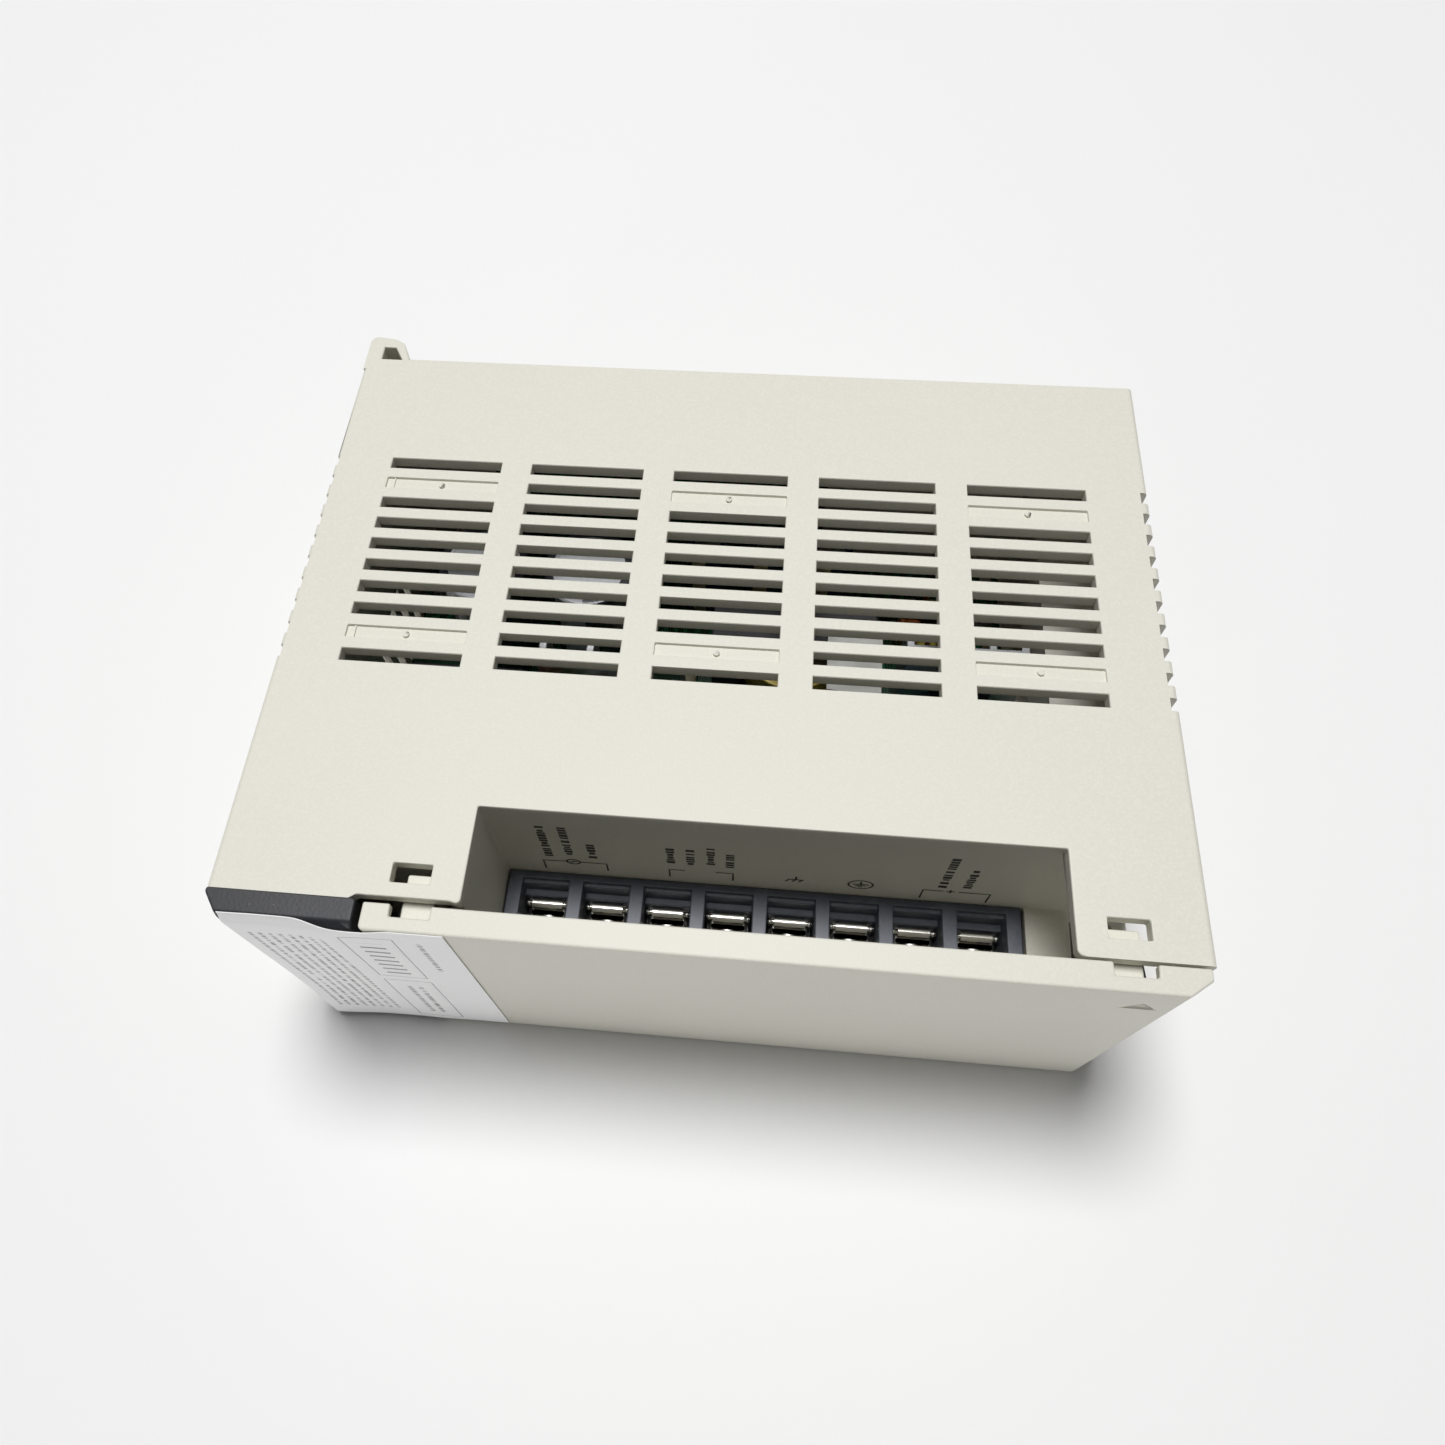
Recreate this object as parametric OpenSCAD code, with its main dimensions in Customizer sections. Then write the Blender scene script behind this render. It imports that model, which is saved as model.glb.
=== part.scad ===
// Rack power supply unit for a control backplane, lying on its left side.
// Inside the modules x runs from the unit's top end to its bottom end, y from the
// front edge of the case to its rear, and z from the left side up to the right side.

/* [Case] */
// Length of the case above the terminal recess
top_len = 34.3; // [30:0.1:60]
// Length of the case below the terminal recess
end_len = 17; // [16:0.1:40]
// Width of the case between its two vented sides
case_w = 54; // [45:0.5:80]
// Depth of the case from its front edge to its rear edge
case_d = 95; // [79:0.5:140]
// Thickness of the moulded walls
wall = 2.2; // [1.6:0.1:3]
// Depth of the terminal recess from the front edge
recess_d = 14; // [12.5:0.5:18]
// Radius of the long outer edges
edge_r = 0.8; // [0.2:0.1:1.5]

/* [Vents] */
// Length of one side slot
slot_l = 18.2; // [10:0.1:24]
// Width of every slot
slot_w = 2.05; // [1.2:0.05:3]
// Land between two slots of one row
slot_land = 5; // [3:0.1:10]
// Distance from one row of slots to the next
row_pitch = 4; // [3.2:0.1:6]
// Distance from the front edge to the first row
vent_front = 35.3; // [20:0.1:50]
// Smallest distance from the last row to the rear edge
vent_rear = 21.5; // [8:0.1:40]

/* [Front] */
// How far the bezel and the cover stand in front of the case
front_len = 4; // [3:0.1:7]
// Length of the bezel along the case
bezel_len = 20.5; // [14:0.1:22]
// Wall of the cover and of the bezel
cover_t = 1.6; // [1.2:0.1:2.2]
// Free gap between neighbouring mouldings
gap = 0.3; // [0.2:0.05:0.5]
// Length of one snap window
window_l = 5.4; // [4:0.1:8]
// Thickness of the paper notice
label_t = 0.2; // [0.1:0.05:0.5]

/* [Terminals] */
// Distance from one terminal to the next
term_pitch = 9.5; // [8:0.1:12]
// Thickness of the ribs between the terminals
rib_w = 2.2; // [1.6:0.1:3]
// Height of the terminal block above the left side of the case
block_top = 28; // [24:0.5:34]
// Diameter of the terminal screws' thread
term_thread_d = 3.5; // [3:0.5:4]

/* [Mounting] */
// How far the hook lugs stand behind the case
lug_len = 5; // [4.8:0.1:8]
// Width of one hook lug
lug_w = 9; // [6:0.5:14]
// Diameter of the mounting screw's thread
mount_d = 4; // [4:0.5:5]
// Diameter of the mounting screw's head
mount_head_d = 8; // [7:0.1:10]
// How far the mounting screw stands behind the case
mount_out = 4.5; // [3:0.1:4.7]

/* [Circuit] */
// Thickness of the circuit boards
board_t = 1.6; // [1:0.1:2.4]
// Height of the spacers under the main board
spacer_h = 4; // [3:0.5:6]
// Height of the tallest parts on the board
tall_h = 27; // [20:0.5:28]

/* [Hidden] */
term_count = 8;
$fn = 48;
eps = 0.01;

// Overall arrangement along the case
block_l = term_count * term_pitch + rib_w;
recess_x0 = top_len;
recess_x1 = top_len + block_l + 2 * 0.25;
case_h = recess_x1 + end_len;
block_x0 = recess_x0 + 0.25;
// The origin is under the middle of the whole unit
origin_y = (case_d + lug_len - front_len - label_t - 0.05) / 2;

// Front pocket behind the bezel
pocket_d = 6;
inner_wall = 2;
bezel_gap = 1;
cover_x0 = bezel_len + bezel_gap;
cover_x1 = case_h - 0.7;
step_y = 0.6;

// Snap hooks of the cover
hook_t = 1.4;
hook_l = 4.4;
hook_tip_y = 4.5;
window_y0 = 2.6;
window_y1 = 5.25;
window_x = [24.4, recess_x1 + 4.05];
hook_x = [window_x[0] + 1.6, window_x[1] + 0.3];
notch_x = [window_x[0] + 0.8, window_x[1] + 0.3];
notch_d = 2;
hook_z = case_w - wall - gap - hook_t;

// Driver channel and mounting screw
groove_w = mount_head_d + 1.5;
groove_wall = 1.6;
mount_x = case_h - 5.5;
mount_z = case_w / 2;
groove_x0 = mount_x - groove_w / 2;
base_t = 2.5;
base_y = case_d - base_t;
boss_h = 2;
head_h = 3;
bore_gap = 0.2;
screw_travel = 5;
lug_root = 7.7;

// Vents
vent_cols = floor((case_h - 2 * 9 + slot_land) / (slot_l + slot_land));
vent_x0 = (case_h - vent_cols * (slot_l + slot_land) + slot_land) / 2;
vent_rows = floor((case_d - vent_front - vent_rear + row_pitch - slot_w) / row_pitch);
blind_d = 0.5;
end_vent_l = case_w / 2 - groove_w / 2 - groove_wall - 1;
tooth_d = 1.2;

// Terminal block
block_y0 = 3;
cell_w = term_pitch - rib_w;
cell_z0 = 9.5;
plate_t = 1;
plate_y = 11.1;
bar_l = 4.8;
bar_d = 1.6;
bar_z = block_top - 4.75;
bar_seat_y = 12.2;
washer_t = 0.8;
washer_w = cell_w - 0.9;
screw_head_d = cell_w - 1.1;
screw_head_h = 2.2;
washer_gap = 0.25;
screw_z = bar_z - bar_d / 2 - washer_gap - washer_w / 2;
shank_l = 5.5;
insert_d = term_thread_d + 2;
screw_head_y = plate_y - plate_t - washer_t - 0.1;

// Boards
board_x0 = wall + 2;
board_x1 = groove_x0 - groove_wall - 1;
board_y0 = recess_d + wall + 2.4;
board_y1 = base_y - 3.5;
board_l = board_x1 - board_x0;
board_d = board_y1 - board_y0;
board_z = wall + 0.5 + spacer_h;
board_top = board_z + board_t;
spacer_d = 6;
spacer_in = 4.5;
seat = 0.02;

// Rear connector
conn_l = 44;
conn_w = 13;
conn_wall = 1.5;
conn_out = 4;
conn_x = board_x0 + 0.42 * board_l;
conn_z = board_top + 17;
conn_y0 = board_y1 - board_t - 1;
pin_rows = 3.6;
pin_pitch = 5.08;
pin_count = 8;
pin_d = 1;

// Base fixing screws
boss_d = 6.4;
boss_hole_d = 2.5;
base_head_d = 4.2;
base_head_h = 1.4;
boss_l = 10;
boss_points = [for (x = [lug_root + 0.4 + boss_d / 2, groove_x0 - groove_wall - boss_d / 2],
                    z = [wall + boss_d / 2 - 0.4, case_w - wall - boss_d / 2 + 0.4]) [x, z]];

function pin_x(i) = conn_x + (i - (pin_count - 1) / 2) * pin_pitch;
function board_x(f) = board_x0 + f * board_l;
function board_y(f) = board_y0 + f * board_d;
function term_x(i) = block_x0 + rib_w / 2 + term_pitch * (i + 0.5);

// Moves a piece from the unit's frame to the part's frame
module unit() { translate([-case_h / 2, -origin_y, 0]) children(); }

// Puts a piece on the main board at a share of its length and depth
module on_board(fx, fy) { translate([board_x(fx), board_y(fy), board_top + seat]) children(); }

// A box from its lowest to its highest corner
module span(a, b) { translate(a) cube(b - a); }

// A cylinder along y, from y0 to y1
module rod_y(x, z, d, y0, y1) {
    translate([x, y0, z]) rotate([-90, 0, 0]) cylinder(d = d, h = y1 - y0);
}

// A rectangle with round corners
module round_rect(a, b, r) {
    translate([a[0] + r, a[1]]) square([b[0] - a[0] - 2 * r, b[1] - a[1]]);
    translate([a[0], a[1] + r]) square([b[0] - a[0], b[1] - a[1] - 2 * r]);
    for (x = [a[0] + r, b[0] - r], y = [a[1] + r, b[1] - r]) translate([x, y]) circle(r = r);
}

// Repeats children on the right side and, mirrored, on the left side of the unit
module both_sides() {
    children();
    translate([0, 0, case_w]) mirror([0, 0, 1]) children();
}

// Outline seen from the right side, extruded over the unit's whole width
module side_profile(points, z0, z1) {
    translate([0, 0, z0]) linear_extrude(z1 - z0) polygon(points);
}

// ---- Case ----

// Closed eye at the rear of the top end that hooks into the backplane
module hook_lug() {
    tip_r = 1.2;
    tip_y = case_d + lug_len;
    translate([0, 0, case_w - lug_w]) linear_extrude(lug_w) difference() {
        union() {
            polygon([[0, base_y], [0, tip_y - tip_r], [tip_r, tip_y], [4.6, tip_y - 0.4],
                     [6, tip_y - 1.2], [lug_root, case_d], [lug_root, base_y]]);
            translate([tip_r, tip_y - tip_r]) circle(r = tip_r);
        }
        polygon([[wall + 0.5, case_d - 1.2], [wall + 0.5, tip_y - 2.3],
                 [4.7, tip_y - 2.3], [6.3, case_d], [6.3, case_d - 1.2]]);
    }
}

module side_slots() {
    pip_d = 1;
    mark_x = 1.1;
    for (col = [0:vent_cols - 1], row = [0:vent_rows - 1]) {
        x = vent_x0 + col * (slot_l + slot_land);
        y = vent_front + row * row_pitch;
        blind = col % 2 == 0 && (row == 1 || row == vent_rows - 2);
        if (blind) difference() {
            span([x, y, case_w - blind_d], [x + slot_l, y + slot_w, case_w + 1]);
            translate([x + slot_l / 2, y + slot_w / 2, case_w - blind_d - eps])
                cylinder(d = pip_d, h = blind_d - 0.1);
            if (col == 0)
                span([x + mark_x, y - 1, case_w - blind_d - eps],
                     [x + mark_x + 0.25, y + slot_w + 1, case_w - blind_d / 2]);
        } else span([x, y, case_w - wall - 1], [x + slot_l, y + slot_w, case_w + 1]);
    }
}

module end_slots() {
    for (row = [0:vent_rows - 1]) {
        y = vent_front + row * row_pitch;
        z = case_w - end_vent_l;
        span([case_h - wall - 1, y, z], [case_h + 1, y + slot_w, case_w - wall]);
        span([case_h - tooth_d, y, z], [case_h + 1, y + slot_w, case_w + 1]);
        span([-1, y, z], [wall + 1, y + slot_w, case_w - wall]);
        span([-1, y, z], [tooth_d / 2, y + slot_w, case_w + 1]);
    }
}

// Post below the terminal row, hollow from behind
module end_post() {
    t = inner_wall;
    difference() {
        span([recess_x1 + 0.2, block_y0 + 0.4, wall - eps], [groove_x0, recess_d + eps, block_top]);
        span([recess_x1 + 0.2 + t, block_y0 + t, wall + t],
             [groove_x0 - groove_wall, recess_d + 1, block_top - t]);
    }
}

module case_shell() {
    color([0.87, 0.86, 0.81]) unit() difference() {
        union() {
            difference() {
                translate([0, case_d, 0]) rotate([90, 0, 0]) linear_extrude(case_d)
                    round_rect([0, 0], [case_h, case_w], edge_r);
                span([wall, -1, wall], [case_h - wall, case_d + 1, case_w - wall]);
            }
            both_sides() hook_lug();
            // front wall behind the bezel, side and back walls of the recess
            span([wall - eps, pocket_d, wall - eps],
                 [recess_x0, pocket_d + inner_wall, case_w - wall + eps]);
            span([recess_x0 - inner_wall, step_y + 0.1, wall - eps],
                 [recess_x0, recess_d + wall, case_w - wall + eps]);
            span([recess_x0 - inner_wall, recess_d, wall - eps],
                 [case_h - wall + eps, recess_d + wall, case_w - wall + eps]);
            end_post();
            // walls of the driver channel
            span([groove_x0 - groove_wall, recess_d, mount_z - groove_w / 2 - groove_wall],
                 [case_h - wall + eps, base_y, mount_z + groove_w / 2 + groove_wall]);
            for (p = boss_points) rod_y(p[0], p[1], boss_d, base_y - boss_l, base_y);
        }
        both_sides() side_slots();
        both_sides() end_slots();
        // front edge set back beside the cover
        both_sides() side_profile([[cover_x0 - 2, -1], [cover_x0 - 2, 0], [cover_x0 - 1.2, step_y],
                                   [recess_x0 - 1.5, step_y], [recess_x0, 0.2], [recess_x0, -1]],
                                  case_w - wall, case_w + 1);
        // side opening and bottom opening of the recess
        span([recess_x0, -1, case_w - wall - 1], [recess_x1, recess_d, case_w + 1]);
        span([case_h - wall - 1, -1, block_top], [case_h + 1, recess_d, case_w - wall]);
        // windows for the cover's hooks
        both_sides() for (x = window_x)
            span([x, window_y0, case_w - wall - 1], [x + window_l, window_y1, case_w + 1]);
        // room for the lower hook in the post
        span([hook_x[1] - 0.5, -1, wall + eps],
             [hook_x[1] + hook_l + 0.5, hook_tip_y + 1, wall + gap + hook_t + 0.5]);
        // driver channel, open towards the bottom end
        span([groove_x0, -1, mount_z - groove_w / 2], [case_h + 1, base_y + 1, mount_z + groove_w / 2]);
        // window behind the terminal block for its contacts
        span([block_x0 + 3, recess_d - 1, 6], [block_x0 + block_l - 3, recess_d + wall + 1, block_top - 5]);
        // way of the light guide
        rod_y(light_x, light_z, light_d + 2 * gap, pocket_d - 1, recess_d);
        // holes for the base screws
        for (p = boss_points) rod_y(p[0], p[1], boss_hole_d, base_y - boss_l + 1, base_y + 1);
    }
}

module rear_base() {
    g = 0.2;
    color([0.80, 0.79, 0.74]) unit() difference() {
        union() {
            span([wall + g, base_y, wall + g], [case_h - wall - g, case_d, case_w - wall - g]);
            rod_y(mount_x, mount_z, groove_w - 1, base_y - boss_h, base_y + 1);
        }
        span([conn_x - conn_l / 2 - gap, base_y - 1, conn_z - conn_w / 2 - gap],
             [conn_x + conn_l / 2 + gap, case_d + 1, conn_z + conn_w / 2 + gap]);
        rod_y(mount_x, mount_z, mount_d + 2 * bore_gap, base_y - boss_h - 1, case_d + 1);
        // corners that clear the roots of the hook lugs
        both_sides() span([0, base_y - 1, case_w - lug_w - g], [lug_root + g, case_d + 1, case_w]);
        for (p = boss_points) {
            rod_y(p[0], p[1], boss_hole_d + 0.5, base_y - 1, case_d + 1);
            rod_y(p[0], p[1], base_head_d + 0.4, case_d - base_head_h - 0.1, case_d + 1);
        }
        // stiffening grooves pressed into the outer face
        for (x = [0.16, 0.84]) translate([x * case_h, case_d, 0])
            span([-1, -0.6, wall + 12], [1, 1, case_w - wall - 12]);
    }
}

// ---- Front ----

light_d = 3;
light_x = 14;
light_z = board_top + 3;

module front_bezel() {
    top_cut = [2.2, 3.2];
    edge_cut = 0.9;
    plug_z = [wall + gap, case_w - wall - gap];
    color([0.29, 0.29, 0.31]) unit() difference() {
        union() {
            intersection() {
                side_profile([[0, 0], [0, -0.6], [top_cut[0], -front_len + 0.4],
                              [top_cut[0] + 0.6, -front_len], [bezel_len, -front_len], [bezel_len, 0]],
                             0, case_w);
                rotate([90, 0, 90]) linear_extrude(bezel_len)
                    polygon([[0, 0.001], [-front_len + edge_cut, 0], [-front_len, edge_cut],
                             [-front_len, case_w - edge_cut], [-front_len + edge_cut, case_w], [0, case_w]]);
            }
            span([wall + gap, -eps, plug_z[0]], [bezel_len - 2, pocket_d - 1, plug_z[1]]);
        }
        span([wall + gap + cover_t, -front_len + cover_t, plug_z[0] + cover_t],
             [bezel_len - 2 - cover_t, pocket_d, plug_z[1] - cover_t]);
        rod_y(light_x, light_z, light_d + 0.2, -front_len - 1, 1);
    }
}

module light_guide() {
    color([0.75, 0.95, 0.75]) unit() {
        rod_y(light_x, light_z, light_d, -front_len + 0.1, board_y0 - 1.2);
    }
}

module power_led() {
    color([0.2, 0.75, 0.3]) unit() {
        rod_y(light_x, light_z, light_d, board_y0 - 1, board_y0 + 3);
        rod_y(light_x, light_z, light_d + 0.8, board_y0 + 2, board_y0 + 3.5);
        for (dx = [-1.27, 1.27])
            span([light_x + dx - 0.25, board_y0 + 2.2, board_top + seat],
                 [light_x + dx + 0.25, board_y0 + 2.7, light_z]);
    }
}

module cover_hook(i) {
    span([hook_x[i], -front_len + cover_t - eps, hook_z],
         [hook_x[i] + hook_l, hook_tip_y, hook_z + hook_t]);
    // foot that joins the hook to the front plate
    span([hook_x[i], -front_len + cover_t - eps, hook_z],
         [hook_x[i] + hook_l, -front_len + cover_t + 0.4, case_w - 0.4]);
}

module terminal_cover() {
    cut = [3, 2.2];
    color([0.86, 0.85, 0.80]) unit() difference() {
        union() {
            difference() {
                side_profile([[cover_x0, -0.3], [cover_x0, -front_len + 0.4], [cover_x0 + 0.4, -front_len],
                              [cover_x1 - cut[0], -front_len], [cover_x1, -front_len + cut[1]],
                              [cover_x1, -0.3]], 0, case_w);
                side_profile([[cover_x0 + cover_t, 0], [cover_x0 + cover_t, -front_len + cover_t],
                              [cover_x1 - cut[0] - 0.4, -front_len + cover_t],
                              [cover_x1 - cover_t, -front_len + cut[1] + 0.6], [cover_x1 - cover_t, 0]],
                             cover_t, case_w - cover_t);
            }
            both_sides() for (i = [0, 1]) cover_hook(i);
        }
        both_sides() for (x = notch_x)
            span([x, -notch_d, case_w - cover_t - 0.5], [x + window_l, 1, case_w + 1]);
        // finger mark near the bottom end
        translate([cover_x1 - 7, -front_len, case_w - 7]) rotate([90, 0, 0])
            translate([0, 0, -0.3]) linear_extrude(1) polygon([[-2, -1], [2, -1], [0, 1.4]]);
    }
}

module notice_label() {
    color([0.95, 0.95, 0.95]) unit()
        span([3.5, -front_len - 0.05 - label_t, 1], [cover_x0 + 11, -front_len - 0.05, case_w - 1]);
}

// ---- Terminals ----

module wiring_marks() {
    t = 0.15;
    color([0.15, 0.15, 0.15]) unit() for (i = [0:term_count - 1])
        span([term_x(i) - 0.25, recess_d - t, block_top + 1], [term_x(i) + 0.25, recess_d, block_top + 4]);
}

module terminal_block() {
    z0 = wall + 0.2;
    color([0.13, 0.14, 0.17]) unit() difference() {
        union() {
            span([block_x0, block_y0, z0], [block_x0 + block_l, recess_d - 0.05, block_top]);
            span([block_x0 + 3.2, recess_d - 1, 6.2],
                 [block_x0 + block_l - 3.2, recess_d + wall + 0.5, block_top - 5.2]);
        }
        for (i = [0:term_count - 1]) {
            x0 = term_x(i) - cell_w / 2;
            x1 = term_x(i) + cell_w / 2;
            span([x0, block_y0 - 1, cell_z0], [x1, plate_y, block_top + 1]);
            span([x0, plate_y - 1, bar_z + bar_d / 2 + 0.3], [x1, bar_seat_y, block_top + 1]);
            span([x0, plate_y - 1, block_top - 0.8], [x1, recess_d - 1.2, block_top + 1]);
            rod_y(term_x(i), screw_z, insert_d, plate_y - 1, plate_y + shank_l + 0.5);
        }
    }
}

module terminal_inserts() {
    color([0.80, 0.68, 0.38]) unit() for (i = [0:term_count - 1]) difference() {
        rod_y(term_x(i), screw_z, insert_d - 0.04, plate_y + 0.02, plate_y + shank_l);
        rod_y(term_x(i), screw_z, term_thread_d + 0.16, plate_y - 1, plate_y + shank_l - 1);
    }
}

module terminal_plates() {
    bar_y = plate_y - bar_d / 2 - 0.02;
    axle_l = bar_l + 1.9;
    axle_d = 0.8;
    color([0.78, 0.77, 0.74]) unit() for (i = [0:term_count - 1]) difference() {
        union() {
            span([term_x(i) - cell_w / 2 + 0.4, plate_y - plate_t, screw_z - 7],
                 [term_x(i) + cell_w / 2 - 0.4, plate_y - 0.02, bar_z - bar_d / 2]);
            span([term_x(i) - bar_l / 2, bar_y - bar_d / 2, bar_z - bar_d / 2 - eps],
                 [term_x(i) + bar_l / 2, bar_y + bar_d / 2, bar_z + bar_d / 2]);
            translate([term_x(i) - axle_l / 2, bar_y, bar_z]) rotate([0, 90, 0])
                cylinder(d = axle_d, h = axle_l);
        }
        rod_y(term_x(i), screw_z, term_thread_d + 0.2, plate_y - 2, plate_y + 1);
    }
}

// Square washer with round corners and two lips that hold the wire
module clamp_washer() {
    lip_w = 0.8;
    lip_h = 0.7;
    intersection() {
        union() {
            span([-washer_w / 2, -washer_t, -washer_w / 2], [washer_w / 2, -0.02, washer_w / 2]);
            for (s = [-1, 1]) translate([s * (washer_w - lip_w) / 2, 0, 0])
                span([-lip_w / 2, -washer_t - lip_h, -washer_w / 2],
                     [lip_w / 2, -washer_t + eps, washer_w / 2]);
        }
        rod_y(0, 0, washer_w * 1.3, -4, 1);
    }
}

module clamp_washers() {
    washer_y = plate_y - plate_t;
    color([0.83, 0.82, 0.80]) unit() for (i = [0:term_count - 1]) difference() {
        translate([term_x(i), washer_y, screw_z]) clamp_washer();
        rod_y(term_x(i), screw_z, term_thread_d + 0.2, 0, plate_y);
        rod_y(term_x(i), screw_z, screw_head_d + 0.2, 0, washer_y - washer_t);
    }
}

module cross_slot(size, depth) {
    for (a = [0, 90]) rotate([0, a, 0]) translate([-size / 2, -eps, -0.45]) cube([size, depth, 0.9]);
}

module terminal_screw(i) {
    color([0.80, 0.79, 0.76]) unit() difference() {
        union() {
            rod_y(term_x(i), screw_z, screw_head_d, screw_head_y - screw_head_h, screw_head_y);
            rod_y(term_x(i), screw_z, term_thread_d, screw_head_y - eps, plate_y + shank_l - 1.4);
        }
        translate([term_x(i), screw_head_y - screw_head_h, screw_z]) cross_slot(screw_head_d * 0.62, 1.4);
    }
}

// ---- Mounting ----

module mounting_screw() {
    head_y = base_y - boss_h - 0.1 - head_h;
    neck_cut = 0.8;
    color([0.72, 0.72, 0.72]) unit() difference() {
        union() {
            rod_y(mount_x, mount_z, mount_head_d, head_y, head_y + head_h);
            // neck inside the base, then the thread
            rod_y(mount_x, mount_z, mount_d - neck_cut, head_y, case_d + eps);
            rod_y(mount_x, mount_z, mount_d, case_d, case_d + mount_out);
        }
        translate([mount_x, head_y, mount_z]) cross_slot(mount_head_d * 0.6, 1.8);
    }
}

// Ring pressed into the channel that keeps the mounting screw from falling out
module screw_collar() {
    ring_y = base_y - boss_h - 0.1 - head_h - screw_travel;
    color([0.25, 0.25, 0.27]) unit() difference() {
        rod_y(mount_x, mount_z, groove_w - 0.1, ring_y, ring_y + 0.5);
        rod_y(mount_x, mount_z, mount_head_d - 1.2, ring_y - 1, ring_y + 1);
    }
}

module base_screws() {
    color([0.70, 0.70, 0.68]) unit() for (p = boss_points) difference() {
        union() {
            rod_y(p[0], p[1], base_head_d, case_d - 0.08 - base_head_h, case_d - 0.08);
            rod_y(p[0], p[1], boss_hole_d - 0.06, case_d - base_t - boss_l + 2, case_d - base_head_h);
        }
        translate([p[0], case_d - 0.08, p[1]]) mirror([0, 1, 0]) cross_slot(base_head_d - 1.4, 0.9);
    }
}

// ---- Boards ----

spacer_points = [for (x = [board_x0 + spacer_in, board_x1 - spacer_in],
                      y = [board_y0 + spacer_in, board_y1 - spacer_in - boss_l]) [x, y]];

module insulating_sheet() {
    color([0.90, 0.88, 0.75]) unit() difference() {
        span([board_x0, board_y0, wall + 0.05], [board_x1, board_y1, wall + 0.45]);
        for (p = spacer_points) translate([p[0], p[1], 0]) cylinder(d = spacer_d + 0.4, h = wall + 1);
        for (p = boss_points) rod_y(p[0], p[1], boss_d + 0.4, base_y - boss_l - 1, base_y);
    }
}

module board_spacers() {
    color([0.75, 0.70, 0.45]) unit() for (p = spacer_points)
        translate([p[0], p[1], wall + seat]) difference() {
        cylinder(d = spacer_d, h = board_z - wall - 2 * seat);
        translate([0, 0, 1]) cylinder(d = 2.6, h = board_z);
    }
}

module main_board() {
    color([0.13, 0.42, 0.25]) unit() difference() {
        span([board_x0, board_y0, board_z], [board_x1, board_y1, board_top]);
        for (p = spacer_points) translate([p[0], p[1], 0]) cylinder(d = 3.2, h = case_w);
        for (p = boss_points) rod_y(p[0], p[1], boss_d + 0.6, base_y - boss_l - 0.5, base_y);
    }
}

module board_screws() {
    color([0.75, 0.75, 0.73]) unit() for (p = spacer_points)
        translate([p[0], p[1], board_top + seat]) difference() {
        union() {
            cylinder(d = 5.4, h = 2);
            translate([0, 0, -board_t - 3]) cylinder(d = 2.5, h = board_t + 4);
        }
        translate([0, 0, 2]) rotate([-90, 0, 0]) cross_slot(3.2, 1.1);
    }
}

module rear_board() {
    color([0.13, 0.42, 0.25]) unit() difference() {
        span([conn_x - 30, conn_y0 - board_t, board_top + seat],
             [conn_x + 30, conn_y0, conn_z + conn_w / 2 + 5]);
        for (i = [0:pin_count - 1], s = [-1, 1])
            rod_y(pin_x(i), conn_z + s * pin_rows, pin_d + 0.3, conn_y0 - board_t - 1, conn_y0 + 1);
    }
}

module backplane_connector() {
    color([0.12, 0.12, 0.13]) unit() difference() {
        span([conn_x - conn_l / 2, conn_y0 + seat, conn_z - conn_w / 2],
             [conn_x + conn_l / 2, case_d + conn_out, conn_z + conn_w / 2]);
        span([conn_x - conn_l / 2 + conn_wall, conn_y0 + 2.5, conn_z - conn_w / 2 + conn_wall],
             [conn_x + conn_l / 2 - conn_wall, case_d + conn_out + 1, conn_z + conn_w / 2 - conn_wall]);
        for (i = [0:pin_count - 1], s = [-1, 1])
            rod_y(pin_x(i), conn_z + s * pin_rows, pin_d + 0.1, conn_y0 - 1, conn_y0 + 3);
    }
}

module connector_pins() {
    color([0.85, 0.72, 0.35]) unit() for (i = [0:pin_count - 1], s = [-1, 1])
        rod_y(pin_x(i), conn_z + s * pin_rows, pin_d, conn_y0 - board_t - 0.5, case_d + conn_out - 1);
}

// ---- Parts on the main board ----

fuse_at = [0.40, 0.10];
fuse_l = 20;
fuse_d = 5.2;
fuse_z = 6;

module line_fuse() {
    cap_l = 5;
    color([0.85, 0.88, 0.88]) unit() on_board(fuse_at[0], fuse_at[1])
        translate([-fuse_l / 2, 0, fuse_z]) rotate([0, 90, 0]) {
            cylinder(d = fuse_d - 0.4, h = fuse_l);
            for (z = [0, fuse_l - cap_l]) translate([0, 0, z]) cylinder(d = fuse_d, h = cap_l);
        }
}

module fuse_clips() {
    clip_l = 4;
    color([0.80, 0.80, 0.78]) unit() on_board(fuse_at[0], fuse_at[1])
        for (x = [-fuse_l / 2 + 0.5, fuse_l / 2 - clip_l - 0.5]) translate([x, 0, 0]) difference() {
            span([0, -3.4, 0], [clip_l, 3.4, fuse_z + 1.5]);
            translate([-1, 0, fuse_z]) rotate([0, 90, 0]) cylinder(d = fuse_d + 0.06, h = clip_l + 2);
            span([-1, -1.6, fuse_z], [clip_l + 1, 1.6, fuse_z + 3]);
            span([-1, -2.6, 0.8], [clip_l + 1, 2.6, 3]);
        }
}

module disc_part(d, t, lift) {
    translate([0, -t / 2, d / 2 + lift]) rotate([-90, 0, 0]) cylinder(d = d, h = t);
    for (x = [-d / 4, d / 4]) translate([x, 0, 0]) cylinder(d = 0.8, h = d / 2 + lift);
}

module varistor() {
    color([0.85, 0.60, 0.15]) unit() on_board(0.565, 0.085) disc_part(12, 4.5, 2);
}

module inrush_thermistor() {
    color([0.15, 0.35, 0.30]) unit() on_board(0.70, 0.085) disc_part(13, 5.5, 2);
}

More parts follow.
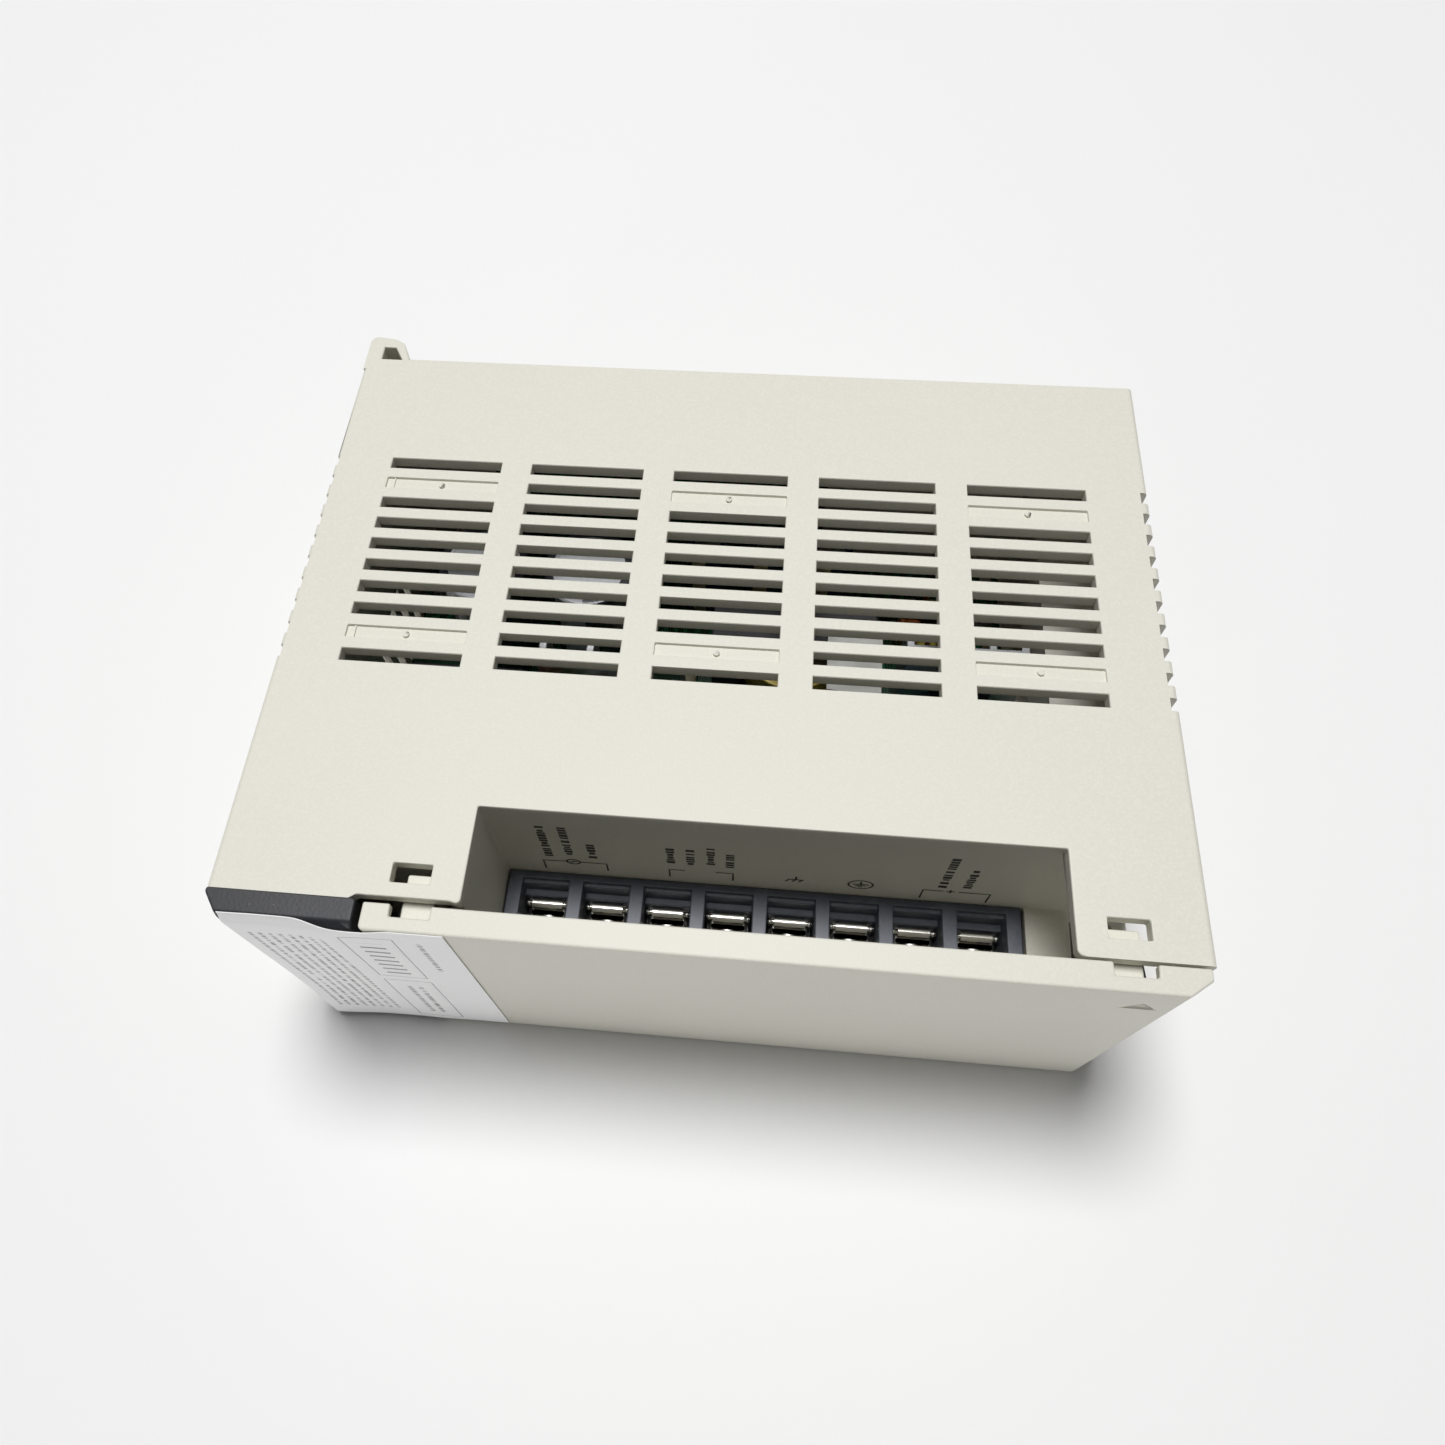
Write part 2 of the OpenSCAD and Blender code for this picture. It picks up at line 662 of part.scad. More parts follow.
module line_filter_capacitor() {
    color([0.85, 0.83, 0.70]) unit() on_board(0.85, 0.19) span([-9, -4, 0], [9, 4, 15]);
}

module safety_capacitors() {
    color([0.20, 0.40, 0.70]) unit() for (f = [0.82, 0.93]) on_board(f, 0.31) disc_part(8, 3.6, 2);
}

choke_at = [0.20, 0.21];

module choke_core() {
    color([0.25, 0.25, 0.27]) unit() on_board(choke_at[0], choke_at[1])
        translate([0, 0, 3]) difference() {
            cylinder(d = 19, h = 10);
            translate([0, 0, -1]) cylinder(d = 10, h = 12);
        }
}

module choke_winding() {
    color([0.75, 0.40, 0.20]) unit() on_board(choke_at[0], choke_at[1])
        for (a = [0, 180]) rotate([0, 0, a]) difference() {
            rotate([0, 0, -50]) rotate_extrude(angle = 100) translate([3.9, 1.9]) square([6.7, 12.2]);
            translate([0, 0, 2.98]) cylinder(d = 19.04, h = 10.04);
            cylinder(d = 7.8, h = 20);
        }
}

module bridge_rectifier() {
    color([0.16, 0.16, 0.17]) unit() on_board(0.15, 0.42) {
        span([-10, -1.8, 4], [10, 1.8, 19]);
        for (x = [-7.5, -2.5, 2.5, 7.5]) span([x - 0.5, -0.3, 0], [x + 0.5, 0.3, 4.01]);
    }
}

module can_capacitor(d, h) {
    cylinder(d = d, h = h - 0.4);
    translate([0, 0, h - 0.4]) cylinder(d = d - 1.4, h = 0.2);
}

module bulk_capacitors() {
    color([0.20, 0.21, 0.24]) unit() for (f = [0.16, 0.325]) on_board(f, 0.68) can_capacitor(16, tall_h);
}

sink_t = 3;
fin_l = 3.5;
fin_t = 1.4;
sink_at = [[0.375, 0.40], [0.895, 0.47]];

module heatsink(l) {
    color([0.78, 0.79, 0.80]) difference() {
        union() {
            span([-l / 2, 0, 0], [l / 2, sink_t, tall_h]);
            for (x = [-l / 2, -l / 6, l / 6, l / 2 - fin_t])
                span([x, sink_t - eps, 0], [x + fin_t, sink_t + fin_l, tall_h]);
        }
        translate([0, -1, 18]) rotate([-90, 0, 0]) cylinder(d = 2.9, h = sink_t + 2);
    }
}

// Flat transistor body against the front of a heatsink
module tab_device() {
    difference() {
        union() {
            span([-5, -1.4, 12], [5, -0.02, 21]);
            span([-5, -4.4, 7], [5, -0.02, 15]);
            for (x = [-2.54, 0, 2.54]) span([x - 0.4, -3, 0], [x + 0.4, -2.4, 7.01]);
        }
        translate([0, -5, 18]) rotate([-90, 0, 0]) cylinder(d = 3.4, h = 6);
    }
}

module sink_screw() {
    translate([0, -1.42, 18]) rotate([90, 0, 0]) cylinder(d = 5.2, h = 2);
    translate([0, -1.5, 18]) rotate([-90, 0, 0]) cylinder(d = 2.8, h = sink_t + 1);
}

module primary_heatsink() { unit() on_board(sink_at[0][0], sink_at[0][1]) heatsink(24); }
module secondary_heatsink() { unit() on_board(sink_at[1][0], sink_at[1][1]) heatsink(20); }

module switching_transistor() {
    color([0.15, 0.15, 0.16]) unit() on_board(sink_at[0][0], sink_at[0][1]) tab_device();
}

module output_diode() {
    color([0.15, 0.15, 0.16]) unit() on_board(sink_at[1][0], sink_at[1][1]) tab_device();
}

module heatsink_screws() {
    color([0.75, 0.75, 0.73]) unit() for (at = sink_at) on_board(at[0], at[1]) sink_screw();
}

trafo_at = [0.645, 0.57];
core_l = 28;
core_w = 20;

module transformer_core() {
    color([0.22, 0.22, 0.24]) unit() on_board(trafo_at[0], trafo_at[1]) translate([0, 0, 5]) {
        for (s = [-1, 1]) translate([s * (core_l / 2 - 2.5), 0, 9]) cube([5, 10, 18], center = true);
        for (z = [2.5, 15.5]) translate([0, 0, z]) cube([core_l, 10, 5], center = true);
        cylinder(d = 8, h = 18);
    }
}

module transformer_bobbin() {
    color([0.18, 0.17, 0.17]) unit() on_board(trafo_at[0], trafo_at[1]) difference() {
        union() {
            for (s = [-1, 1]) translate([0, s * (core_w / 2 - 2.5), 2]) cube([core_l, 5, 4], center = true);
            translate([0, 0, 10.1]) cylinder(d = 10.4, h = 7.8);
        }
        translate([0, 0, 4.9]) cylinder(d = 8.1, h = 18);
        translate([0, 0, 7]) cube([core_l + 2, 10.2, 6], center = true);
    }
}

module transformer_winding() {
    color([0.90, 0.85, 0.55]) unit() on_board(trafo_at[0], trafo_at[1])
        translate([0, 0, 10.15]) difference() {
            intersection() {
                cylinder(d = core_w - 2, h = 7.7);
                translate([0, 0, 4]) cube([core_l - 10.4, core_w, 8], center = true);
            }
            translate([0, 0, -1]) cylinder(d = 10.5, h = 10);
        }
}

inductor_at = [0.87, 0.72];

module inductor_core() {
    color([0.85, 0.80, 0.35]) unit() on_board(inductor_at[0], inductor_at[1])
        translate([0, 0, 2.6]) difference() {
            cylinder(d = 11.4, h = 7);
            translate([0, 0, -1]) cylinder(d = 6, h = 9);
        }
}

module inductor_winding() {
    color([0.78, 0.42, 0.20]) unit() on_board(inductor_at[0], inductor_at[1]) difference() {
        rotate([0, 0, 20]) rotate_extrude(angle = 320) translate([1.9, 1.4]) square([4.9, 9.4]);
        translate([0, 0, 2.58]) cylinder(d = 11.44, h = 7.04);
        cylinder(d = 3.8, h = 20);
    }
}

module output_capacitors() {
    color([0.16, 0.20, 0.32]) unit() for (f = [0.50, 0.60, 0.70]) on_board(f, 0.835) can_capacitor(8, 20);
}

module output_relay() {
    color([0.20, 0.45, 0.75]) unit() on_board(0.60, 0.27) span([-8, -4, 0], [8, 4, 12]);
}

module optocouplers() {
    color([0.90, 0.90, 0.88]) unit() for (f = [0.345, 0.735]) on_board(f, 0.25) {
        span([-2.3, -3.2, 0.4], [2.3, 3.2, 3.9]);
        for (y = [-1.27, 1.27], s = [-1, 1]) span([s * 3.2 - 0.3, y - 0.3, 0], [s * 3.2 + 0.3, y + 0.3, 2]);
        for (y = [-1.27, 1.27]) span([-3.2, y - 0.3, 1.5], [3.2, y + 0.3, 2]);
    }
}

card_at = [0.025, 0.33];

module control_card() {
    color([0.13, 0.42, 0.25]) unit() on_board(card_at[0], card_at[1])
        span([-board_t / 2, -7, 0], [board_t / 2, 7, 17]);
}

module control_chip() {
    color([0.14, 0.14, 0.15]) unit() on_board(card_at[0], card_at[1])
        span([board_t / 2 + 0.05, -4, 6], [board_t / 2 + 2, 4, 11]);
}

module power_resistors() {
    resistor_gap = 2.6;
    resistor_lift = 3;
    color([0.75, 0.72, 0.62]) unit() for (f = [0.43, 0.475])
        on_board(f, sink_at[0][1]) translate([0, sink_t + fin_l + resistor_gap, resistor_lift]) {
        rotate([-90, 0, 0]) cylinder(d = 4, h = 10);
        for (y = [-1, 11]) translate([0, y, -resistor_lift]) cylinder(d = 0.7, h = resistor_lift + 0.3);
        translate([0, -1.35, 0]) rotate([-90, 0, 0]) cylinder(d = 0.7, h = 12.7);
    }
}

case_shell();
rear_base();
front_bezel();
terminal_cover();
notice_label();
light_guide();
power_led();
wiring_marks();
terminal_block();
terminal_plates();
clamp_washers();
terminal_inserts();
for (i = [1:term_count]) terminal_screw(i - 1);
mounting_screw();
screw_collar();
base_screws();
insulating_sheet();
main_board();
board_spacers();
board_screws();
rear_board();
backplane_connector();
connector_pins();
line_fuse();
fuse_clips();
varistor();
inrush_thermistor();
line_filter_capacitor();
safety_capacitors();
choke_core();
choke_winding();
bridge_rectifier();
bulk_capacitors();
primary_heatsink();
switching_transistor();
transformer_core();
transformer_bobbin();
transformer_winding();
secondary_heatsink();
output_diode();
heatsink_screws();
inductor_core();
inductor_winding();
output_capacitors();
output_relay();
optocouplers();
control_card();
control_chip();
power_resistors();
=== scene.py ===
"""Looks of the rack power supply.

Rounded mouldings and terminals, the paper notice, the wiring symbols, and the circuit inside.
"""

import math
import random
from contextlib import contextmanager

import bmesh
import bpy
from mathutils import Matrix, Vector


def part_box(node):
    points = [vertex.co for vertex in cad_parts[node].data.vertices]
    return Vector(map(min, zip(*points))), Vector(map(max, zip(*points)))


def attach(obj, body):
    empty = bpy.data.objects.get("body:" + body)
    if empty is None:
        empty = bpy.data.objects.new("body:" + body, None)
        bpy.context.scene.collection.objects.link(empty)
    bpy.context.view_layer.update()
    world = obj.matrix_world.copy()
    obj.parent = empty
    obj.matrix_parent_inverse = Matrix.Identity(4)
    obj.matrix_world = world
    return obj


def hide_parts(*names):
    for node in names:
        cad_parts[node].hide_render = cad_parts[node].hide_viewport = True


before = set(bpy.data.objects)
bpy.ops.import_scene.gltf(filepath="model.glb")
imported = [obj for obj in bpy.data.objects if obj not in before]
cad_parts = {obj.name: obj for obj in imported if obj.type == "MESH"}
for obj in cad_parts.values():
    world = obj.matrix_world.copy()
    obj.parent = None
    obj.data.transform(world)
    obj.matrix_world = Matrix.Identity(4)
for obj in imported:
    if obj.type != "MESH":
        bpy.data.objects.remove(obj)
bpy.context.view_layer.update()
MM = 0.001
X, Y, Z = Vector((1, 0, 0)), Vector((0, 1, 0)), Vector((0, 0, 1))

CASE_LOW, CASE_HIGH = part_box("case_shell")
BLOCK_LOW, BLOCK_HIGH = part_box("terminal_block")
BLOCK_GAP = 0.25 * MM
TERMINALS = 8

# How near two corners count as one place, and how near an edge has to be to a face to lie in it
WELD, HAIR, NEAR = 0.002 * MM, 0.01 * MM, 0.05 * MM
# The least turn of an edge that is rounded, on a CAD node and on a new rod's rim
SHARP_TURN, RIM_TURN = math.radians(35), math.radians(50)

PAPER = 0.1 * MM
PRINT_Y, INK_LINE = CASE_LOW.y + 13.97 * MM, 0.3 * MM
WINDING_WIRE, WINDING_BEND = 1.02 * MM, 0.7 * MM


def at(x, y, z):
    """A place in millimetres from the case's top end, front edge and left side, as a point of the frame."""
    return Vector((CASE_LOW.x + x * MM, CASE_LOW.y + y * MM, z * MM))


def middle(box):
    """The middle of a box of two corners."""
    return (box[0] + box[1]) / 2


# ---- Hands: selecting, editing and finishing a piece ----


def take(piece):
    """Makes the piece the only one selected and the active one."""
    bpy.ops.object.select_all(action="DESELECT")
    piece.select_set(True)
    bpy.context.view_layer.objects.active = piece
    return piece


@contextmanager
def editing(piece, kind="FACE"):
    """Edit mode on a piece, with nothing selected, picking corners, edges or faces."""
    take(piece)
    bpy.context.tool_settings.mesh_select_mode = (kind == "VERT", kind == "EDGE", kind == "FACE")
    bpy.ops.object.mode_set(mode="EDIT")
    bpy.ops.mesh.select_all(action="DESELECT")
    yield bmesh.from_edit_mesh(piece.data)
    bpy.ops.object.mode_set(mode="OBJECT")


def pick(piece, shapes, test):
    """Selects the faces, edges or corners of an edited mesh that pass a test."""
    for found in [s for s in shapes if test(s)]:
        found.select = True
    bmesh.from_edit_mesh(piece.data).select_flush_mode()
    bmesh.update_edit_mesh(piece.data)


def settle(piece):
    """Puts a piece's place, turn and size into its mesh."""
    take(piece)
    bpy.ops.object.transform_apply(location=True, rotation=True, scale=True)
    return piece


def modified(piece, kind, **settings):
    """Adds one modifier, sets it and applies it."""
    take(piece)
    modifier = piece.modifiers.new(kind.title(), kind)
    for key, value in settings.items():
        setattr(modifier, key, value)
    bpy.ops.object.modifier_apply(modifier=modifier.name)
    return piece


def smoothed(piece, degrees=20):
    """Shades gentle turns smooth, leaves the sharper ones crisp and keeps large faces flat."""
    take(piece)
    bpy.ops.object.shade_smooth_by_angle(angle=math.radians(degrees))
    return modified(piece, "WEIGHTED_NORMAL", keep_sharp=True, weight=100)


def joined(name, pieces):
    """Joins several pieces into one."""
    first = take(pieces[0])
    for piece in pieces[1:]:
        piece.select_set(True)
    if len(pieces) > 1:
        bpy.ops.object.join()
    first.name = name
    return first


def copied(piece, move):
    """A copy of a piece with its own mesh, moved by a matrix."""
    twin = bpy.data.objects.new(piece.name, piece.data.copy())
    twin.data.transform(move)
    bpy.context.scene.collection.objects.link(twin)
    return twin


def placed(piece, name, finish, body="case", nodes=()):
    """Names a piece, gives it its finish, lets it ride on its body, and hides the CAD nodes it stands for.
    """
    piece.name = piece.data.name = name
    piece.data.materials.clear()
    piece.data.materials.append(finish)
    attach(piece, body)
    if nodes:
        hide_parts(*nodes)
    return piece


def merged_copy(node):
    """A copy of a CAD node's mesh with its corners merged and its flat faces whole."""
    piece = bpy.data.objects.new(node + "_copy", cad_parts[node].data.copy())
    bpy.context.scene.collection.objects.link(piece)
    with editing(piece):
        bpy.ops.mesh.select_all(action="SELECT")
        bpy.ops.mesh.remove_doubles(threshold=WELD)
        bpy.ops.mesh.dissolve_limited(angle_limit=math.radians(0.5))
    return piece


def anywhere(edge):
    """True for every edge."""
    return True


def round_edges(piece, width, where=anywhere, segments=2):
    """Rounds the edges that turn sharply and pass a test, width in millimetres."""
    mesh = piece.data
    shape = bmesh.new()
    shape.from_mesh(mesh)
    sharp = [e.is_manifold and e.calc_face_angle() > SHARP_TURN and where(e) for e in shape.edges]
    shape.free()
    weights = mesh.attributes.new("bevel_weight_edge", "FLOAT", "EDGE")
    weights.data.foreach_set("value", [float(s) for s in sharp])
    return modified(piece, "BEVEL", limit_method="WEIGHT", width=width * MM, segments=segments,
                    use_clamp_overlap=False)


def block(low, high, rounding=0.0, segments=2):
    """A box between two corners with its edges rounded, rounding in millimetres."""
    bpy.ops.object.select_all(action="DESELECT")
    bpy.ops.mesh.primitive_cube_add(size=1, location=(low + high) / 2)
    piece = bpy.context.active_object
    piece.scale = high - low
    settle(piece)
    if rounding:
        with editing(piece, "EDGE"):
            bpy.ops.mesh.select_all(action="SELECT")
            bpy.ops.mesh.bevel(offset=rounding * MM, segments=segments, affect="EDGES", clamp_overlap=True)
    return piece


def rod(centre, axis, radius, length, rounding=0.0, sides=32, segments=2):
    """A cylinder about a centre along an axis, sizes in metres, its rims rounded in millimetres."""
    bpy.ops.object.select_all(action="DESELECT")
    bpy.ops.mesh.primitive_cylinder_add(vertices=sides, radius=radius, depth=length, location=centre,
                                        rotation=axis.to_track_quat("Z", "Y").to_euler())
    piece = settle(bpy.context.active_object)
    if rounding:
        with editing(piece, "EDGE") as shape:
            pick(piece, shape.edges, lambda e: e.calc_face_angle() > RIM_TURN)
            bpy.ops.mesh.bevel(offset=rounding * MM, segments=segments, affect="EDGES", clamp_overlap=True)
    return piece


def stroke(points, thick, sides=2):
    """A tube along points: a corner that is extruded from point to point and then thickened."""
    bpy.ops.object.select_all(action="DESELECT")
    bpy.ops.mesh.primitive_plane_add(size=MM, location=points[0])
    piece = settle(bpy.context.active_object)
    with editing(piece, "VERT"):
        bpy.ops.mesh.select_all(action="SELECT")
        bpy.ops.mesh.merge(type="CENTER")
        for here, there in zip(points, points[1:]):
            bpy.ops.mesh.extrude_vertices_move(TRANSFORM_OT_translate={"value": there - here})
    take(piece)
    bpy.ops.object.convert(target="CURVE")
    piece = bpy.context.active_object
    piece.data.bevel_depth = thick / 2
    piece.data.bevel_resolution = sides
    piece.data.use_fill_caps = True
    bpy.ops.object.convert(target="MESH")
    return bpy.context.active_object


# ---- Finishes: a socket class for sums, and one method for every other node ----


class Socket:
    """A node's output that can stand in a sum: each operation adds a Math node."""

    def __init__(self, finish, output):
        self.finish, self.output = finish, output

    def math(self, operation, *values):
        return self.finish.node("Math", {"operation": operation}, *values)

    def __add__(self, other):
        return self.math("ADD", self, other)

    def __sub__(self, other):
        return self.math("SUBTRACT", self, other)

    def __rsub__(self, other):
        return self.math("SUBTRACT", other, self)

    def __mul__(self, other):
        return self.math("MULTIPLY", self, other)

    def __truediv__(self, other):
        return self.math("DIVIDE", self, other)

    def __mod__(self, other):
        return self.math("FLOORED_MODULO", self, other)

    def __gt__(self, other):
        return self.math("GREATER_THAN", self, other)

    def __lt__(self, other):
        return self.math("LESS_THAN", self, other)

    __radd__, __rmul__ = __add__, __mul__

    def floor(self):
        return self.math("FLOOR", self)

    def between(self, low, high):
        return (self > low) * (self < high)


class Finish:
    """A material in the making, with its shader and the piece's own coordinates."""

    def __init__(self, name):
        self.material = bpy.data.materials.new(name)
        self.material.use_nodes = True
        self.tree = self.material.node_tree
        self.shader = self.tree.nodes["Principled BSDF"]
        self.place = self.node("TexCoord", {}, output="Object")

    def node(self, kind, settings, *values, output=0, **named):
        """Any node: its type, its settings, its sockets' values or links, and the output to go on from."""
        made = self.tree.nodes.new("ShaderNode" + kind)
        for key, value in settings.items():
            if key == "stops":
                self.set_stops(made.color_ramp, value)
            else:
                setattr(made, key, value)
        for key, value in [*enumerate(values), *((k.replace("_", " "), v) for k, v in named.items())]:
            self.feed(made.inputs[key], value)
        return Socket(self, made.outputs[output])

    def feed(self, target, value):
        """Links a socket or sets it to a plain value."""
        if isinstance(value, Socket):
            self.tree.links.new(value.output, target)
        else:
            target.default_value = value

    @staticmethod
    def set_stops(ramp, stops):
        """Gives a colour ramp its stops."""
        while len(ramp.elements) < len(stops):
            ramp.elements.new(1)
        for element, (position, colour) in zip(ramp.elements, stops):
            element.position, element.color = position, (*colour, 1)

    def noise(self, scale, detail=2, roughness=0.5, stretch=None):
        """Cloudy noise from 0 to 1, scale in cycles per metre."""
        spot = self.node("Mapping", {}, Vector=self.place, Scale=stretch) if stretch else self.place
        return self.node("TexNoise", {}, Vector=spot, Scale=scale, Detail=detail, Roughness=roughness)

    def cells(self, scale):
        """Distance inside the cells of a random grid."""
        return self.node("TexVoronoi", {}, Vector=self.place, Scale=scale)

    def mask(self, value, low, high):
        """A mask that is off up to one value and full from another one."""
        return self.node("ValToRGB", {"stops": ((low, (0, 0, 0)), (high, (1, 1, 1)))}, value)

    def grey(self, factor, low, high):
        """A value from 0 to 1 stretched to a range."""
        return factor * (high - low) + low

    def blend(self, factor, first, second):
        """One colour over another by a factor."""
        made = self.node("Mix", {"data_type": "RGBA"}, output=2)
        inputs = made.output.node.inputs
        for target, value in ((inputs[0], factor), (inputs[6], first), (inputs[7], second)):
            self.feed(target, (*value, 1) if isinstance(value, tuple) else value)
        return made

    def axes(self):
        """The piece's coordinates as three numbers in millimetres from the case's corner."""
        low = (-CASE_LOW.x / MM, -CASE_LOW.y / MM, 0)
        moved = self.node("Mapping", {}, Vector=self.place, Location=low, Scale=(1 / MM,) * 3)
        split = self.node("SeparateXYZ", {}, moved)
        return [Socket(self, output) for output in split.output.node.outputs]

    def bump(self, height, strength, distance):
        """A bump, distance in millimetres."""
        return self.node("Bump", {}, Strength=strength, Distance=distance * MM, Height=height)

    def done(self, **sockets):
        """Sets the shader's sockets and gives the material."""
        for key, value in sockets.items():
            value = (*value, 1) if isinstance(value, tuple) and len(value) == 3 else value
            self.feed(self.shader.inputs[key.replace("_", " ")], value)
        return self.material


def tone(red, green, blue):
    """A screen colour of 0 to 255 as a linear colour."""
    shares = (red / 255, green / 255, blue / 255)
    return tuple(c / 12.92 if c < 0.04 else ((c + 0.055) / 1.055) ** 2.4 for c in shares)


def shaded(colour, share):
    """A colour made darker or lighter by a share."""
    return tuple(min(1.0, c * share) for c in colour)


def spark_eroded(name, colour, rough=0.5):
    """Moulded plastic with a fine spark-eroded skin, faint flow marks and a few specks of dust; the fine
    lighter flecks of the skin are painted glints, partly its own fine tone.
    """
    f = Finish(name)
    fine = f.noise(2600, detail=3, roughness=0.6)
    coarse = f.cells(1500)
    flow = f.noise(22, detail=3, stretch=(1, 1, 2.5))
    speck = f.mask(f.noise(140, detail=5, roughness=0.72), 0.73, 0.78)
    base = f.blend(flow, shaded(colour, 0.97), shaded(colour, 1.03))
    # painted glints: fine lighter flecks in the colour stand for the sparkle of the grained skin under the
    # lamps, partly a fine random tone
    glint_speckled = f.blend(f.mask(fine, 0.42, 0.72), base, shaded(colour, 1.07))
    marked = f.blend(speck * 0.3, glint_speckled, shaded(colour, 0.78))
    return f.done(Base_Color=marked, Roughness=f.grey(fine, rough - 0.1, rough + 0.14),
                  Specular_IOR_Level=0.45, Normal=f.bump(fine + coarse * 0.6, 0.5, 0.012))


def barrier_plastic():
    """Dark thermoset of the terminal block, a little glossy, with fine moulding dust; both its tones are
    painted lighter than the thermoset itself, a painted sheen for the room's reflection on it.
    """
    f = Finish("barrier_plastic")
    fine = f.noise(1800, detail=3)
    dust = f.noise(260, detail=4, roughness=0.7)
    # painted sheen: both tones are lighter than the dark thermoset and stand for the room's reflection on
    # the block; the dust patches are lighter still
    colour = f.blend(f.mask(dust, 0.5, 0.8), tone(84, 88, 100), tone(108, 112, 122))
    return f.done(Base_Color=colour, Roughness=f.grey(dust, 0.3, 0.52), Normal=f.bump(fine, 0.35, 0.01))


def dark_grain():
    """Charcoal plastic with a leather-like fine grain and pale scuffs."""
    f = Finish("bezel_grain")
    grain = f.cells(2100)
    cloud = f.noise(60, detail=4, roughness=0.65)
    scuff = f.noise(420, detail=4, roughness=0.75, stretch=(1, 1, 0.35))
    marks = f.mask(scuff, 0.66, 0.74)
    colour = f.blend(cloud, tone(34, 35, 40), tone(44, 45, 50))
    dust = f.mask(f.noise(1500, roughness=0.6), 0.69, 0.72)
    marked = f.blend(marks * 0.3 + dust * 0.45, colour, tone(128, 129, 132))
    return f.done(Base_Color=marked, Roughness=f.grey(cloud, 0.4, 0.56), Normal=f.bump(grain, 0.5, 0.02))


def bright_metal(name, colour, rough, tarnish=0.12):
    """Plated metal with hairline scratches and patchy tarnish."""
    f = Finish(name)
    lines = f.noise(900, detail=3, stretch=(1, 6, 0.6))
    patch = f.noise(320, detail=4, roughness=0.65)
    base = f.blend(f.mask(patch, 0.45, 0.75), colour, shaded(colour, 1 - 3 * tarnish))
    return f.done(Base_Color=base, Metallic=1.0, Roughness=f.grey(patch, rough, rough + tarnish),
                  Normal=f.bump(lines, 0.4, 0.004))


def brushed_aluminium():
    """Extruded aluminium with lines along its length."""
    f = Finish("extruded_aluminium")
    lines = f.noise(700, detail=3, stretch=(8, 8, 0.4))
    base = f.blend(lines, tone(176, 178, 181), tone(206, 208, 210))
    return f.done(Base_Color=base, Metallic=1.0, Roughness=f.grey(lines, 0.28, 0.48),
                  Normal=f.bump(lines, 0.5, 0.01))


def solder_mask():
    """Green circuit board: tracks under the mask, a weave of glass cloth, tinned rings on a grid."""
    f = Finish("circuit_board_mask")
    x, y, z = f.axes()
    wander = f.noise(90, detail=1)
    track = ((x + wander * 6) % 2.4 < 0.9) * ((y + z) % 17 > 2.5)
    crossing = ((y + z + wander * 8) % 5.1 < 0.7) * (x % 23 > 6)
    copper = f.node("Math", {"operation": "MAXIMUM"}, track, crossing)
    weave = f.node("TexWave", {"wave_type": "BANDS"}, Vector=f.place, Scale=600, Distortion=1.0)
    colour = f.blend(copper, tone(14, 62, 38), tone(30, 98, 58))
    return f.done(Base_Color=colour, Roughness=f.grey(weave, 0.22, 0.32),
                  Normal=f.bump(copper + weave * 0.15, 0.6, 0.03))


def lacquer(name, colour, rough=0.2, lumps=500, depth=0.04, coat=0.4):
    """Dipped or moulded epoxy with a slightly wavy gloss."""
    f = Finish(name)
    wave = f.noise(lumps, detail=2)
    base = f.blend(wave, shaded(colour, 0.86), shaded(colour, 1.12))
    return f.done(Base_Color=base, Roughness=f.grey(wave, rough, rough + 0.12), Coat_Weight=coat,
                  Coat_Roughness=0.15, Normal=f.bump(wave, 0.4, depth))


def ferrite(name, colour):
    """Sintered core, dull grey with tiny pits."""
    f = Finish(name)
    pits = f.cells(1700)
    cloud = f.noise(160, detail=4)
    base = f.blend(cloud, shaded(colour, 0.8), shaded(colour, 1.2))
    return f.done(Base_Color=base, Roughness=f.grey(cloud, 0.5, 0.7), Specular_IOR_Level=0.5,
                  Normal=f.bump(pits, 0.5, 0.03))


def enamelled_copper():
    """Copper wire under clear enamel."""
    f = Finish("enamelled_copper")
    patch = f.noise(300, detail=2)
    base = f.blend(patch, tone(168, 88, 44), tone(204, 120, 66))
    return f.done(Base_Color=base, Metallic=1.0, Roughness=f.grey(patch, 0.18, 0.3), Coat_Weight=0.6,
                  Coat_Roughness=0.08)


def winding_tape():
    """Yellow polyester tape in overlapping turns."""
    f = Finish("winding_tape")
    lap_width = 2.6
    lap = (f.axes()[2] % lap_width) / lap_width
    cloud = f.noise(200, detail=3)
    base = f.blend(cloud, tone(206, 176, 62), tone(228, 202, 92))
    lined = f.blend((lap > 0.94) * 0.5, base, tone(150, 120, 40))
    return f.done(Base_Color=lined, Roughness=f.grey(cloud, 0.25, 0.4), Normal=f.bump(lap, 0.5, 0.06))


def shrink_sleeve(name, colour, stripe, about):
    """Capacitor sleeve with a pale stripe down one side, about an upright axis in millimetres."""
    f = Finish(name)
    x, y, _ = f.axes()
    turn = f.node("Math", {"operation": "ARCTAN2"}, y - about[1], x - about[0])
    band = turn.between(-2.3, -1.6)
    cloud = f.noise(240, detail=2)
    base = f.blend(cloud, shaded(colour, 0.85), shaded(colour, 1.2))
    striped = f.blend(band, base, stripe)
    return f.done(Base_Color=striped, Roughness=f.grey(cloud, 0.22, 0.34), Coat_Weight=0.3,
                  Coat_Roughness=0.2, Normal=f.bump(cloud, 0.3, 0.03))


def clear_plastic(name, colour, rough=0.05):
    """Clear or tinted see-through plastic or glass with faint ripples."""
    f = Finish(name)
    ripple = f.noise(400, detail=2)
    return f.done(Base_Color=colour, Roughness=rough, Transmission_Weight=0.9, IOR=1.49,
                  Normal=f.bump(ripple, 0.2, 0.01))


